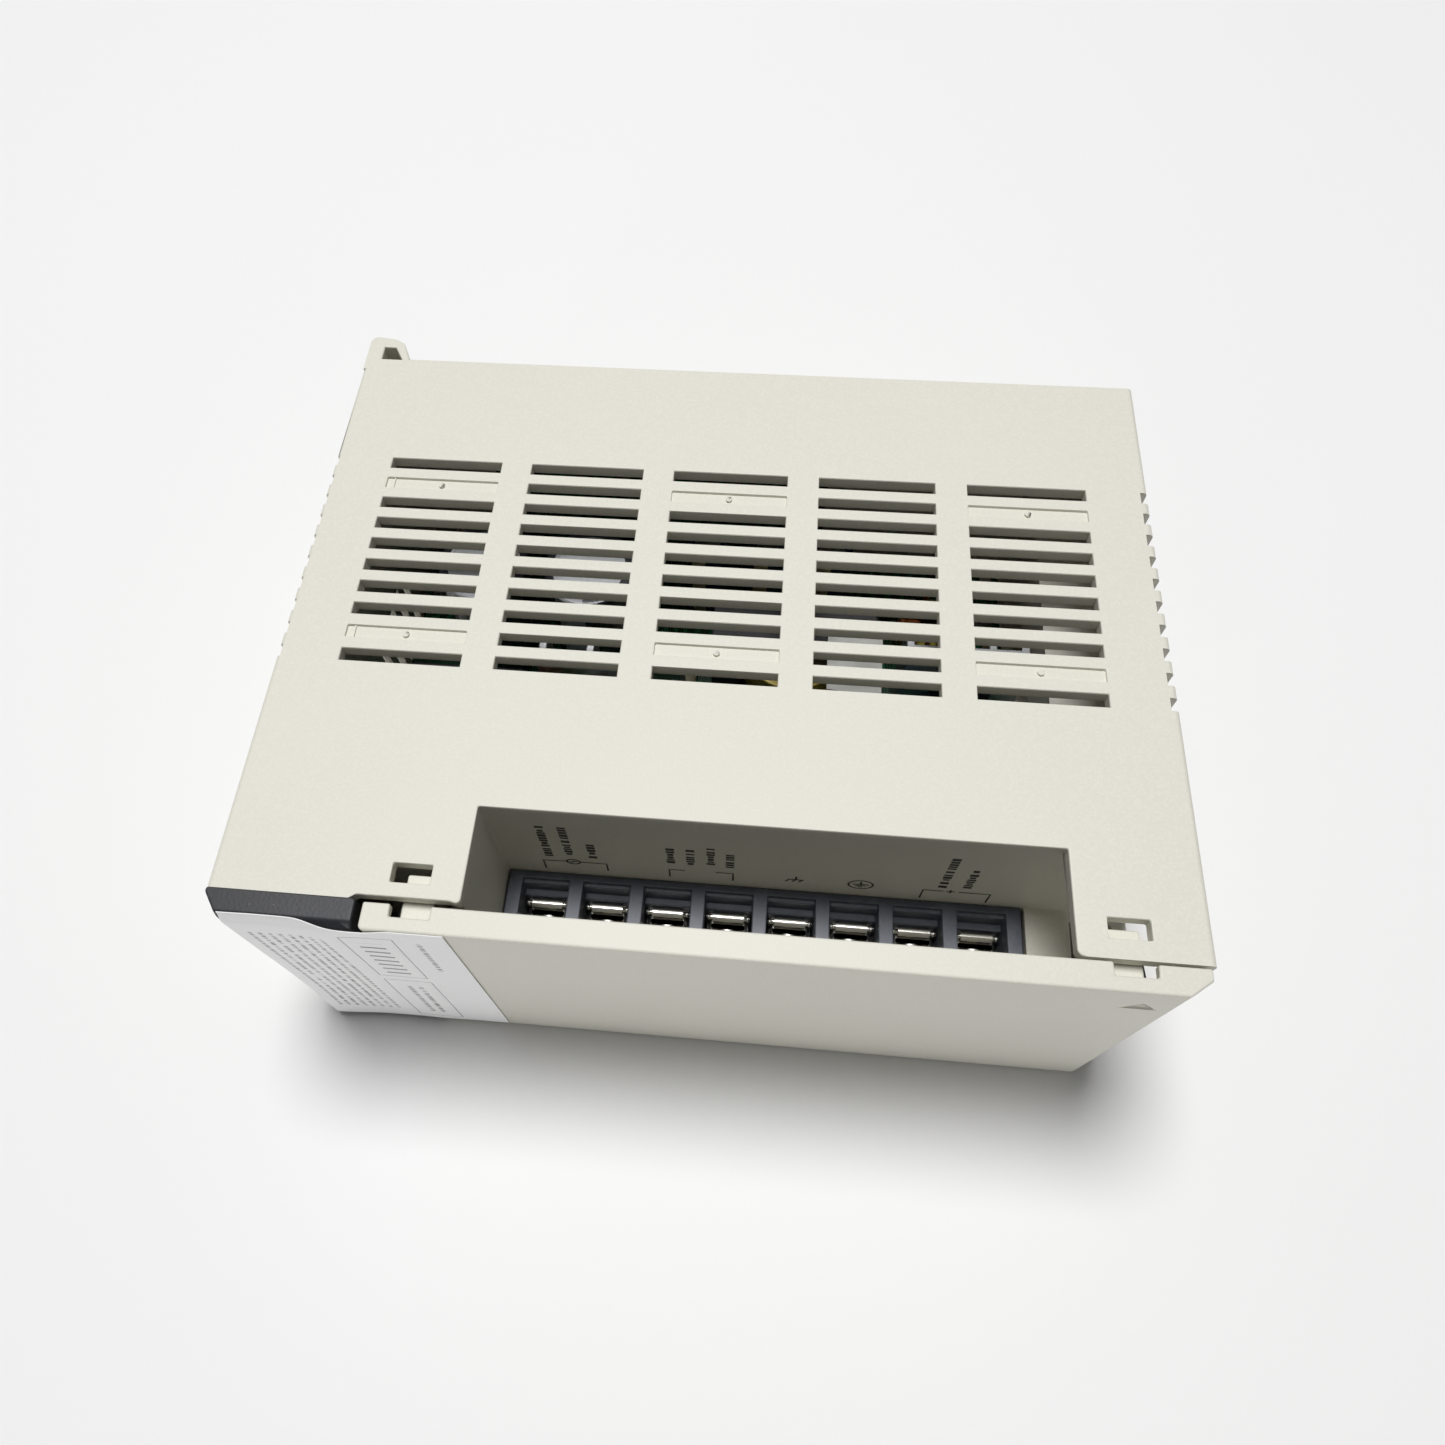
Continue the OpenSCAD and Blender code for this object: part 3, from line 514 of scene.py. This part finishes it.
def fibre_sheet():
    """Calendered insulating fibre, cream, with short fibres."""
    f = Finish("insulating_fibre")
    fibre = f.noise(800, detail=4, roughness=0.7, stretch=(1, 0.25, 1))
    base = f.blend(fibre, tone(196, 188, 150), tone(232, 226, 196))
    return f.done(Base_Color=base, Roughness=f.grey(fibre, 0.6, 0.8), Normal=f.bump(fibre, 0.4, 0.02))


def fibre_paper():
    """Plain white paper."""
    f = Finish("plain_paper_patch")
    fibre = f.noise(900, detail=4, roughness=0.7)
    base = f.blend(fibre, tone(214, 214, 210), tone(236, 236, 232))
    return f.done(Base_Color=base, Roughness=f.grey(fibre, 0.55, 0.7), Normal=f.bump(fibre, 0.3, 0.015))


def printing_ink():
    """Matt black print with a slightly broken edge."""
    f = Finish("printing_ink")
    broken = f.noise(1500, detail=3)
    base = f.blend(broken, tone(16, 16, 18), tone(48, 48, 48))
    return f.done(Base_Color=base, Roughness=f.grey(broken, 0.45, 0.7))


def notice_paper():
    """White paper with ruled boxes, a row of heavy bars and columns of short bars that stand for print."""
    f = Finish("notice_paper")
    x, _, z = f.axes()
    fibre = f.noise(900, detail=4, roughness=0.7)
    line = 0.16
    word_share = 0.485

    def frame_line(x0, x1, z0, z1):
        """A ruled box."""
        outer = x.between(x0, x1) * z.between(z0, z1)
        inner = x.between(x0 + line, x1 - line) * z.between(z0 + line, z1 - line)
        return outer - inner

    def bars(x0, x1, z0, z1, pitch, share, gap_scale):
        """Lines of short bars that run along the notice's height, broken at uneven places."""
        row = ((x - x0) / pitch).floor()
        across = ((x - x0) / pitch) % 1
        spot = f.node("CombineXYZ", {}, row * 7.31, z * gap_scale, 0.0)
        word = f.node("TexNoise", {}, Vector=spot, Scale=1.0, Detail=3.0, Roughness=0.7) > word_share
        row_height = across.between(0.5 - share / 2, 0.5 + share / 2)
        return x.between(x0, x1) * z.between(z0, z1) * row_height * word

    ruled = frame_line(18.0, 25.4, 29.5, 50.8) + frame_line(18.0, 25.4, 3.0, 27.2)
    heavy = x.between(19.8, 23.4) * z.between(31.5, 48.0) * ((z - 31.5) % 2.35 < 0.62)
    small = (bars(4.6, 15.9, 6.0, 49.0, 1.41, 0.4, 1.9) + bars(20.2, 23.6, 6.0, 23.5, 1.7, 0.42, 1.9)
             + bars(27.9, 29.3, 35.0, 49.5, 1.4, 0.5, 1.7))
    print_mask = ruled * 0.72 + heavy * 0.78 + small * 0.62
    white = f.blend(fibre, tone(246, 246, 246), tone(254, 254, 254))
    printed = f.blend(print_mask, white, tone(70, 70, 74))
    return f.done(Base_Color=printed, Roughness=f.grey(fibre, 0.5, 0.66), Normal=f.bump(fibre, 0.3, 0.012))


CASE_COLOUR = tone(219, 217, 205)
CASE_PLASTIC = spark_eroded("case_plastic", CASE_COLOUR)
COVER_PLASTIC = spark_eroded("cover_plastic", shaded(CASE_COLOUR, 0.99), rough=0.46)
BASE_PLASTIC = spark_eroded("base_plastic", shaded(CASE_COLOUR, 0.94), rough=0.55)
BEZEL_PLASTIC = dark_grain()
BARRIER_PLASTIC = barrier_plastic()
NICKEL = bright_metal("nickel_plate", tone(236, 234, 226), 0.2, tarnish=0.08)
ZINC = bright_metal("zinc_plate", tone(196, 198, 200), 0.24)
BRASS = bright_metal("turned_brass", tone(206, 176, 106), 0.22)
SPRING = bright_metal("blackened_spring_steel", tone(74, 74, 78), 0.34)
ALUMINIUM = brushed_aluminium()
BOARD = solder_mask()
COPPER = enamelled_copper()
CORE = ferrite("sintered_ferrite", tone(58, 58, 61))
POWDER_CORE = ferrite("painted_powder_core", tone(196, 186, 70))
CHIP_EPOXY = lacquer("chip_epoxy", tone(38, 38, 40), rough=0.42, lumps=1200, depth=0.01, coat=0.0)
SOCKET_PLASTIC = spark_eroded("socket_plastic", tone(36, 36, 38), rough=0.4)
INK = printing_ink()
GLASS = clear_plastic("fuse_glass", (0.92, 0.96, 0.96))
GUIDE = clear_plastic("light_guide_acrylic", (0.82, 0.95, 0.84))
LED = clear_plastic("led_epoxy", tone(70, 176, 92), 0.12)
PATCH_PAPER = fibre_paper()


# ---- Mouldings and metal parts that keep their CAD shape and get rounded edges ----


def dressed(node, finish, width=0.15, segments=2, where=anywhere, body="case"):
    """A rounded copy of a CAD node that stands for it."""
    piece = round_edges(merged_copy(node), width, where, segments)
    return placed(smoothed(piece), node + "_finished", finish, body, [node])


def case_edge(edge):
    """True for the case's edges that are seen and handled, away from the fine teeth of the two ends."""
    teeth, skin, front = 1.5 * MM, 0.3 * MM, 15 * MM
    centre = middle([v.co for v in edge.verts])
    whole = all(CASE_LOW.x + teeth < v.co.x < CASE_HIGH.x - teeth for v in edge.verts)
    outer_skin = centre.z > CASE_HIGH.z - skin or centre.z < skin or centre.y < CASE_LOW.y + front
    return whole and outer_skin and edge.calc_length() > skin


def front_corner(edge):
    """True for the upright edges where the side wall's front corners meet the recess."""
    step, wall, snug = 0.8 * MM, 3 * MM, 0.1 * MM
    here, there = (v.co for v in edge.verts)
    upright = abs(here.x - there.x) < HAIR and abs(here.y - there.y) < HAIR
    sides = (BLOCK_LOW.x - BLOCK_GAP, BLOCK_HIGH.x + BLOCK_GAP)
    beside_recess = min(abs(here.x - x) for x in sides) < snug
    return upright and beside_recess and here.y < CASE_LOW.y + step and here.z > CASE_HIGH.z - wall


def rim(node):
    """A test for the edges round the front end of a screw's head."""
    low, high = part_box(node)
    centre, past_slot = middle((low, high)), 0.8 * (high.x - low.x) / 2

    def on_rim(edge):
        """True for an edge of the head's front face, away from the slots."""
        return all(v.co.y < low.y + HAIR and math.hypot(v.co.x - centre.x, v.co.z - centre.z) > past_slot
                   for v in edge.verts)
    return on_rim


def case():
    """The case: the recess's front corners are rounded first, then every edge that a hand can reach."""
    piece = round_edges(merged_copy("case_shell"), 0.9, front_corner, 4)
    piece.data.attributes.remove(piece.data.attributes["bevel_weight_edge"])
    round_edges(piece, 0.22, case_edge)
    placed(smoothed(piece), "case_shell_finished", CASE_PLASTIC, nodes=["case_shell"])


def mouldings():
    """Base, bezel, cover, terminal block and rear connector."""
    dressed("rear_base", BASE_PLASTIC, 0.2)
    dressed("front_bezel", BEZEL_PLASTIC, 0.35, 3)
    dressed("terminal_cover", COVER_PLASTIC, 0.3, 3, body="cover")
    dressed("terminal_block", BARRIER_PLASTIC, 0.18)
    dressed("backplane_connector", SOCKET_PLASTIC, 0.2)


def terminal_screws():
    """One screw with a domed head, and a copy of it at every other terminal."""
    first = "terminal_screw_1"
    screw = smoothed(round_edges(merged_copy(first), 0.7, rim(first), 4))
    for i in range(2, TERMINALS + 1):
        node = f"terminal_screw_{i}"
        shift = Matrix.Translation(middle(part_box(node)) - middle(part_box(first)))
        placed(copied(screw, shift), node + "_finished", NICKEL, node, [node])
    placed(screw, first + "_finished", NICKEL, first, [first])


def fasteners():
    """Screws, spacers, clips and pins: heads with rounded rims."""
    terminal_screws()
    dressed("mounting_screw", ZINC, 0.6, 3, rim("mounting_screw"), "mounting_screw")
    dressed("screw_collar", SPRING, 0.12)
    for screws, width in (("base_screws", 0.12), ("board_screws", 0.2), ("heatsink_screws", 0.3)):
        dressed(screws, ZINC, width)
    for turned, width in (("board_spacers", 0.2), ("terminal_inserts", 0.15), ("connector_pins", 0.2)):
        dressed(turned, BRASS, width)
    dressed("fuse_clips", NICKEL, 0.12)


# ---- Terminals ----


def terminal_metal():
    """Contact plates with a rolled bar on an axle with two rounded ends, and the clamp washers."""
    low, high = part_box("terminal_plates")
    roll = 0.8 * MM
    roll_z, roll_y = high.z - roll, low.y + roll
    axle_reach, axle_radius, axle_end, shortest = 3.05 * MM, 0.5 * MM, 0.7 * MM, 2 * MM

    def roll_edge(edge):
        """True for the long edges of the bars, which are rounded until the bar is a roll."""
        here, there = (v.co for v in edge.verts)
        level = min(here.z, there.z)
        along = abs(here.x - there.x) > shortest
        on_top, on_front = level > high.z - NEAR, here.y < low.y + NEAR
        return along and (on_top or (level > roll_z - MM and on_front))

    plates = [round_edges(merged_copy("terminal_plates"), 0.66, roll_edge, 5)]
    for i in range(1, TERMINALS + 1):
        x = middle(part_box(f"terminal_screw_{i}")).x
        for side in (-axle_reach, axle_reach):
            plates.append(rod(Vector((x + side, roll_y, roll_z)), X, axle_radius, axle_end, 0.26, 16, 3))
    placed(smoothed(joined("terminal_bars", plates)), "terminal_plates_finished", NICKEL,
           nodes=["terminal_plates"])
    dressed("clamp_washers", NICKEL, 0.2, 3)


# ---- Wiring symbols ----


def terminal_at(number, x, z):
    """A place on the recess's back wall, in millimetres from a terminal's middle and the block's top."""
    screw = middle(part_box(f"terminal_screw_{number}"))
    return Vector((screw.x + x * MM, PRINT_Y, BLOCK_HIGH.z + z * MM))


def circle_points(centre, radius, steps=20):
    """The corners of a closed circle on the wall."""
    return [centre + Vector((math.cos(t), 0, math.sin(t))) * radius * MM
            for t in (2 * math.pi * k / steps for k in range(steps + 1))]


def dash(centre, axis, reach):
    """A straight line about its middle, reach in millimetres to each side."""
    return [centre - axis * reach * MM, centre + axis * reach * MM]


def symbol_lines():
    """The lines of every sign on the wall: each a list of points."""
    lines = []
    # the input's bracket with a tilde in a circle
    source = terminal_at(1, 4.75, 5.6)
    lines.append([terminal_at(1, 0.1, 1.8), terminal_at(1, 0.1, 5.4), source - X * MM])
    lines.append([source + X * MM, terminal_at(2, 0.3, 5.6), terminal_at(2, 0.3, 2.6)])
    lines.append(circle_points(source, 1.0))
    lines.append([source + Vector((u * 0.55, 0, 0.28 * math.sin(u * math.pi))) * MM
                  for u in (k / 5 - 1 for k in range(11))])
    # the selector's two hooks
    lines.append([terminal_at(3, 0.3, 2.2), terminal_at(3, 0.3, 5.4), terminal_at(3, 2.7, 5.4)])
    lines.append([terminal_at(4, -2.2, 5.6), terminal_at(4, 0.4, 5.6), terminal_at(4, 0.4, 2.4)])
    # frame ground, then earth in a circle
    ground = terminal_at(5, 0.3, 5.0)
    lines.append([ground + Z * 1.3 * MM, ground])
    lines.append(dash(ground, X, 1.2))
    lines += [[ground + X * s * MM, ground + Vector((s - 0.5, 0, -0.9)) * MM] for s in (-1.0, 0.0, 1.0)]
    earth = terminal_at(6, 0.4, 5.0)
    lines.append(circle_points(earth, 1.8, 28))
    lines.append([earth + Z * 1.2 * MM, earth + Z * 0.1 * MM])
    lines += [dash(earth + Z * h * MM, X, w) for w, h in ((1.2, 0.1), (0.8, -0.45), (0.35, -1.0))]
    # the output's bracket between plus and minus
    lines.append([terminal_at(7, 0.1, 1.2), terminal_at(7, 0.1, 4.9), terminal_at(7, 3.0, 4.9)])
    lines.append([terminal_at(8, -4.2, 4.9), terminal_at(8, 0.4, 4.9), terminal_at(8, 0.4, 1.1)])
    plus = terminal_at(7, 4.1, 4.9)
    return lines + [dash(plus, X, 0.65), dash(plus, Z, 0.65)]


def value_bars():
    """Columns of short plain bars where the values of each group stand."""
    draw = random.Random(4)
    ink, shortest = 0.06, 0.4
    lengths, widths, gaps = (0.55, 0.7, 0.9), (1.25, 1.25, 0.9), (0.28, 0.28, 0.75)
    # each column: its terminal, its place along the wall, and where it starts and stops
    columns = ((1, 1.3, 7.4, 19.8), (1, 4.5, 8.6, 20.0), (1, 8.0, 7.8, 14.2),
               (3, 0.7, 8.3, 15.2), (3, 3.6, 8.1, 14.8), (4, -2.9, 8.8, 16.2), (4, -0.1, 8.1, 13.7),
               (7, 2.6, 6.4, 18.6), (7, 6.1, 6.9, 15.8))
    bars = []
    for number, x, start, stop in columns:
        z = start
        while z < stop - shortest:
            length = draw.choice(lengths)
            width = draw.choice(widths)
            low = terminal_at(number, x - width / 2, z)
            bars.append(block(low, low + Vector((width, ink, length)) * MM, 0.02, 1))
            z += length + draw.choice(gaps)
    return bars


def wiring_marks():
    """The print on the recess's back wall, a hair proud of it: round strokes pressed flat, and bars."""
    wall = Matrix.Translation(Y * PRINT_Y)
    pressed = wall @ Matrix.Diagonal((1, 0.2, 1, 1)) @ wall.inverted()
    strokes = [stroke(points, INK_LINE) for points in symbol_lines()]
    for piece in strokes:
        piece.data.transform(pressed)
    placed(joined("marks", strokes + value_bars()), "wiring_marks_printed", INK,
           nodes=["wiring_marks"])


# ---- Notice ----


def notice():
    """A sheet of paper, loose over the bezel and stuck to the cover, its upper edge dipping between."""
    left, right, bottom, top, front = 3.1, 32.9, 0.9, 55.5, -4.12
    bpy.ops.object.select_all(action="DESELECT")
    bpy.ops.mesh.primitive_grid_add(x_subdivisions=60, y_subdivisions=90, size=1,
                                    location=at((left + right) / 2, front, (bottom + top) / 2),
                                    rotation=(math.radians(90), 0, 0))
    sheet = bpy.context.active_object
    sheet.scale = ((right - left) * MM, (top - bottom) * MM, 1)
    settle(sheet)

    def ease(value, start, stop):
        """A smooth step from 0 to 1."""
        t = min(1, max(0, (value - start) / (stop - start)))
        return t * t * (3 - 2 * t)

    # millimetres across and up the sheet: the upper edge dips and leans, and a corner curls
    for v in sheet.data.vertices:
        x, z = (v.co.x - CASE_LOW.x) / MM, v.co.z / MM
        height = (z - bottom) / (top - bottom)
        dip = 2.4 * ease(x, 14.5, 21) - 1.05 * ease(x, 21.5, 26)
        lean = 0.6 * ease(z, 53.0, 55.4) * (1 - ease(x, 13, 19))
        wave = 0.35 * math.exp(-((x - 16.5) / 2.6) ** 2) * ease(height, 0.45, 1)
        curl = 0.35 * (1 - ease(x, 3, 14)) * (1 - ease(height, 0, 0.35))
        ripple = 0.04 * math.sin(z / 7.3 + x / 3.1) + 0.04 * math.sin(x / 2.7)
        v.co.z += (0.45 * ease(x, 12, 30) * (1 - height) - dip * height ** 6) * MM
        v.co.y = CASE_LOW.y + (front - wave - curl - max(0.0, ripple) - 0.04 + lean) * MM
    modified(sheet, "SOLIDIFY", thickness=PAPER, offset=0)
    placed(smoothed(sheet, 40), "notice_sheet", notice_paper(), "cover", ["notice_label"])


# ---- Circuit ----


def wound(node, core, name, depth, turn_pitch, *arcs):
    """Wire turns round a ring core: one rounded turn, copied about the core's axis along arcs in degrees.

    The depth is the turn's width across the ring as a share of the winding's height.
    """
    low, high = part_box(node)
    centre = middle(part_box(core))
    outer = (high.x - low.x) / 2 - WINDING_WIRE / 2
    inner = outer - (high.z - low.z) * depth
    bottom, top = low.z + WINDING_WIRE / 2, high.z - WINDING_WIRE / 2
    bend, cut = WINDING_BEND, WINDING_BEND * 0.3
    path = [Vector((r, 0, z)) for r, z in (
        (inner, bottom + bend), (inner, top - bend), (inner + cut, top - cut), (inner + bend, top),
        (outer - bend, top), (outer - cut, top - cut), (outer, top - bend), (outer, bottom + bend),
        (outer - cut, bottom + cut), (outer - bend, bottom), (inner + bend, bottom),
        (inner + cut, bottom + cut), (inner, bottom + bend))]
    turn = stroke(path, WINDING_WIRE, sides=1)
    put = Matrix.Translation((centre.x, centre.y, 0))
    angles = [start + k * turn_pitch for start, stop in arcs
              for k in range(int((stop - start) / turn_pitch) + 1)]
    turns = [copied(turn, put @ Matrix.Rotation(math.radians(a), 4, "Z")) for a in angles]
    bpy.data.objects.remove(turn)
    placed(smoothed(joined(name, turns), 50), name, COPPER, nodes=[node])


def sunk(piece, border, depth):
    """Insets a piece's top face by a border and sinks it, both in millimetres."""
    with editing(piece) as shape:
        pick(piece, shape.faces, lambda f: f.normal.z > 0.99)
        bpy.ops.mesh.inset(thickness=border * MM)
        bpy.ops.mesh.extrude_region_move(TRANSFORM_OT_translate={"value": (0, 0, -depth * MM)})
    return smoothed(piece)


def cans(node, count, radius, colour, stripe):
    """Capacitor cans side by side: a sleeve with a turned-in lip, and a sunk aluminium top."""
    low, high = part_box(node)
    centre, sides = middle((low, high)), 40
    lip, lip_depth, rim_width, rim_depth = 0.9, 0.5, 0.6, 0.12
    top_radius, top_thickness, top_z = (radius - 1.5) * MM, 0.4 * MM, high.z - 0.35 * MM
    pitch = (high.x - low.x - 2 * radius * MM) / (count - 1)
    for k in range(count):
        x, name = low.x + radius * MM + k * pitch, f"{node}_sleeve_{k + 1}"
        sleeve = rod(Vector((x, centre.y, centre.z)), Z, radius * MM, high.z - low.z, 0.7, sides, 3)
        about = ((x - CASE_LOW.x) / MM, (centre.y - CASE_LOW.y) / MM)
        finish = shrink_sleeve(name, colour, stripe, about)
        placed(sunk(sleeve, lip, lip_depth), name, finish, nodes=[node])
        top = rod(Vector((x, centre.y, top_z)), Z, top_radius, top_thickness, 0.1, sides)
        placed(sunk(top, rim_width, rim_depth), f"{node}_top_{k + 1}", ALUMINIUM)


def fuse():
    """A glass tube with its melting wire between two plated caps."""
    low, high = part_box("line_fuse")
    centre, radius = middle((low, high)), (high.y - low.y) / 2
    cap, wire, reach, step = 5 * MM, 0.25 * MM, 5.2, 0.25 * MM
    tube = rod(centre, X, radius - step, high.x - low.x - MM, 0.2)
    placed(smoothed(tube), "fuse_tube", GLASS, nodes=["line_fuse"])
    ends = [rod(Vector((x, centre.y, centre.z)), X, radius, cap, 0.4, segments=3)
            for x in (low.x + cap / 2, high.x - cap / 2)]
    placed(smoothed(joined("fuse_caps", ends)), "fuse_caps", NICKEL)
    sag = [centre + Vector((u * reach, 0.15 * math.sin(9 * u), -0.5 * (1 - u * u))) * MM
           for u in (-1, -0.6, -0.2, 0.2, 0.6, 1)]
    placed(smoothed(stroke(sag, wire), 50), "fuse_wire", COPPER)


def circuit():
    """Everything on the boards."""
    for board in ("main_board", "rear_board", "control_card"):
        dressed(board, BOARD, 0.12)
    dressed("insulating_sheet", fibre_sheet(), 0.08)
    for heatsink in ("primary_heatsink", "secondary_heatsink"):
        dressed(heatsink, ALUMINIUM, 0.2)
    for chip, width in (("switching_transistor", 0.2), ("output_diode", 0.2), ("bridge_rectifier", 0.4),
                        ("control_chip", 0.2)):
        dressed(chip, CHIP_EPOXY, width)
    optocoupler_body = lacquer("optocoupler_body", tone(222, 220, 212), 0.35, coat=0.0)
    dressed("optocouplers", optocoupler_body, 0.15)
    dressed("varistor", lacquer("varistor_epoxy", tone(206, 142, 34)), 1.1, 4)
    dressed("inrush_thermistor", lacquer("thermistor_epoxy", tone(34, 78, 66)), 1.3, 4)
    disc_epoxy = lacquer("disc_capacitor_epoxy", tone(52, 104, 178))
    dressed("safety_capacitors", disc_epoxy, 0.9, 4)
    film_box = lacquer("film_capacitor_box", tone(222, 214, 176), 0.3)
    dressed("line_filter_capacitor", film_box, 0.5, 3)
    dressed("output_relay", lacquer("relay_cover", tone(48, 112, 184), 0.28), 0.5, 3)
    resistor_coat = lacquer("resistor_coat", tone(178, 170, 142), 0.5, coat=0.0)
    dressed("power_resistors", resistor_coat, 0.5, 3)
    dressed("choke_core", CORE, 0.5, 3)
    dressed("transformer_core", CORE, 0.3)
    dressed("transformer_bobbin", SOCKET_PLASTIC, 0.25)
    dressed("transformer_winding", winding_tape(), 0.4, 3)
    dressed("inductor_core", POWDER_CORE, 0.5, 3)
    wound("choke_winding", "choke_core", "choke_turns", 0.46, 13.5, (-48, 48), (132, 228))
    wound("inductor_winding", "inductor_core", "inductor_turns", 0.41, 26.2, (22, 338))
    cans("bulk_capacitors", 2, 8, tone(44, 46, 54), tone(188, 190, 196))
    cans("output_capacitors", 3, 4, tone(34, 44, 78), tone(206, 200, 160))
    fuse()
    dressed("light_guide", GUIDE, 0.2)
    dressed("power_led", LED, 0.4, 3)


def paper_patch():
    """A crumpled paper flag on top of the transformer, seen through the front rows of slots."""
    low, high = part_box("transformer_core")
    place = (middle((low, high)).x + 10 * MM, low.y - 1.5 * MM, high.z + 2.5 * MM)
    width, length = 9 * MM, 11 * MM
    bpy.ops.object.select_all(action="DESELECT")
    bpy.ops.mesh.primitive_grid_add(x_subdivisions=14, y_subdivisions=16, size=1, location=place)
    patch = bpy.context.active_object
    patch.scale = (width, length, 1)
    settle(patch)
    for v in patch.data.vertices:
        x, y = (v.co.x - low.x) / MM, (v.co.y - low.y) / MM
        v.co.z += (0.9 * math.sin(0.55 * x) * math.cos(0.5 * y) - 0.12 * abs(y - 2) ** 1.3) * MM
    modified(patch, "SOLIDIFY", thickness=PAPER, offset=0)
    placed(smoothed(patch, 40), "paper_patch", PATCH_PAPER)


case()
mouldings()
fasteners()
terminal_metal()
wiring_marks()
notice()
circuit()
paper_patch()


# ---- Stage: lamps as name, place, size and power, and the camera ----

OVERHEAD = ("overhead", (-0.1, 0.27, 1.6), 0.6, 23.5)
FRONT_FILL = ("front_fill", (-0.5, -1.4, 0.05), 0.2, 4.4)
ROOM_LIGHT = 0.12
EYE_PLACE, EYE_TURN = (0.00607, -0.08799, 0.19575), (29.887, 2.195, 5.216)
LENS, SENSOR, LENS_SHIFT, NEAREST = 27.85, 36, (0.036, -0.0518), 0.01


def stage():
    """A plain pale floor, soft light from above and a dim fill from the front."""
    bpy.ops.object.select_all(action="DESELECT")
    bpy.ops.mesh.primitive_plane_add(size=6, location=-Z * 0.2 * MM)
    floor = bpy.context.active_object
    floor.name = "floor"
    floor.data.materials.append(Finish("pale_floor").done(Base_Color=(0.9, 0.9, 0.9), Roughness=0.8))
    for name, place, size, power in (OVERHEAD, FRONT_FILL):
        bpy.ops.object.light_add(type="AREA", location=place)
        lamp = bpy.context.active_object
        lamp.name = name
        lamp.data.shape, lamp.data.size, lamp.data.energy = "DISK", size, power
        lamp.rotation_euler = (-Vector(place)).to_track_quat("-Z", "Y").to_euler()
    world = bpy.data.worlds.new("pale_room")
    bpy.context.scene.world = world
    world.use_nodes = True
    room = world.node_tree.nodes["Background"].inputs
    room["Color"].default_value, room["Strength"].default_value = (1, 1, 1, 1), ROOM_LIGHT
    bpy.context.scene.view_settings.view_transform = "Standard"


def camera():
    """A short lens close above the front, the unit seen from over its bottom left."""
    bpy.ops.object.select_all(action="DESELECT")
    bpy.ops.object.camera_add(location=EYE_PLACE, rotation=[math.radians(a) for a in EYE_TURN])
    eye = bpy.context.active_object
    eye.data.lens, eye.data.sensor_width = LENS, SENSOR
    eye.data.shift_x, eye.data.shift_y = LENS_SHIFT
    eye.data.clip_start = NEAREST
    bpy.context.scene.camera = eye


stage()
camera()
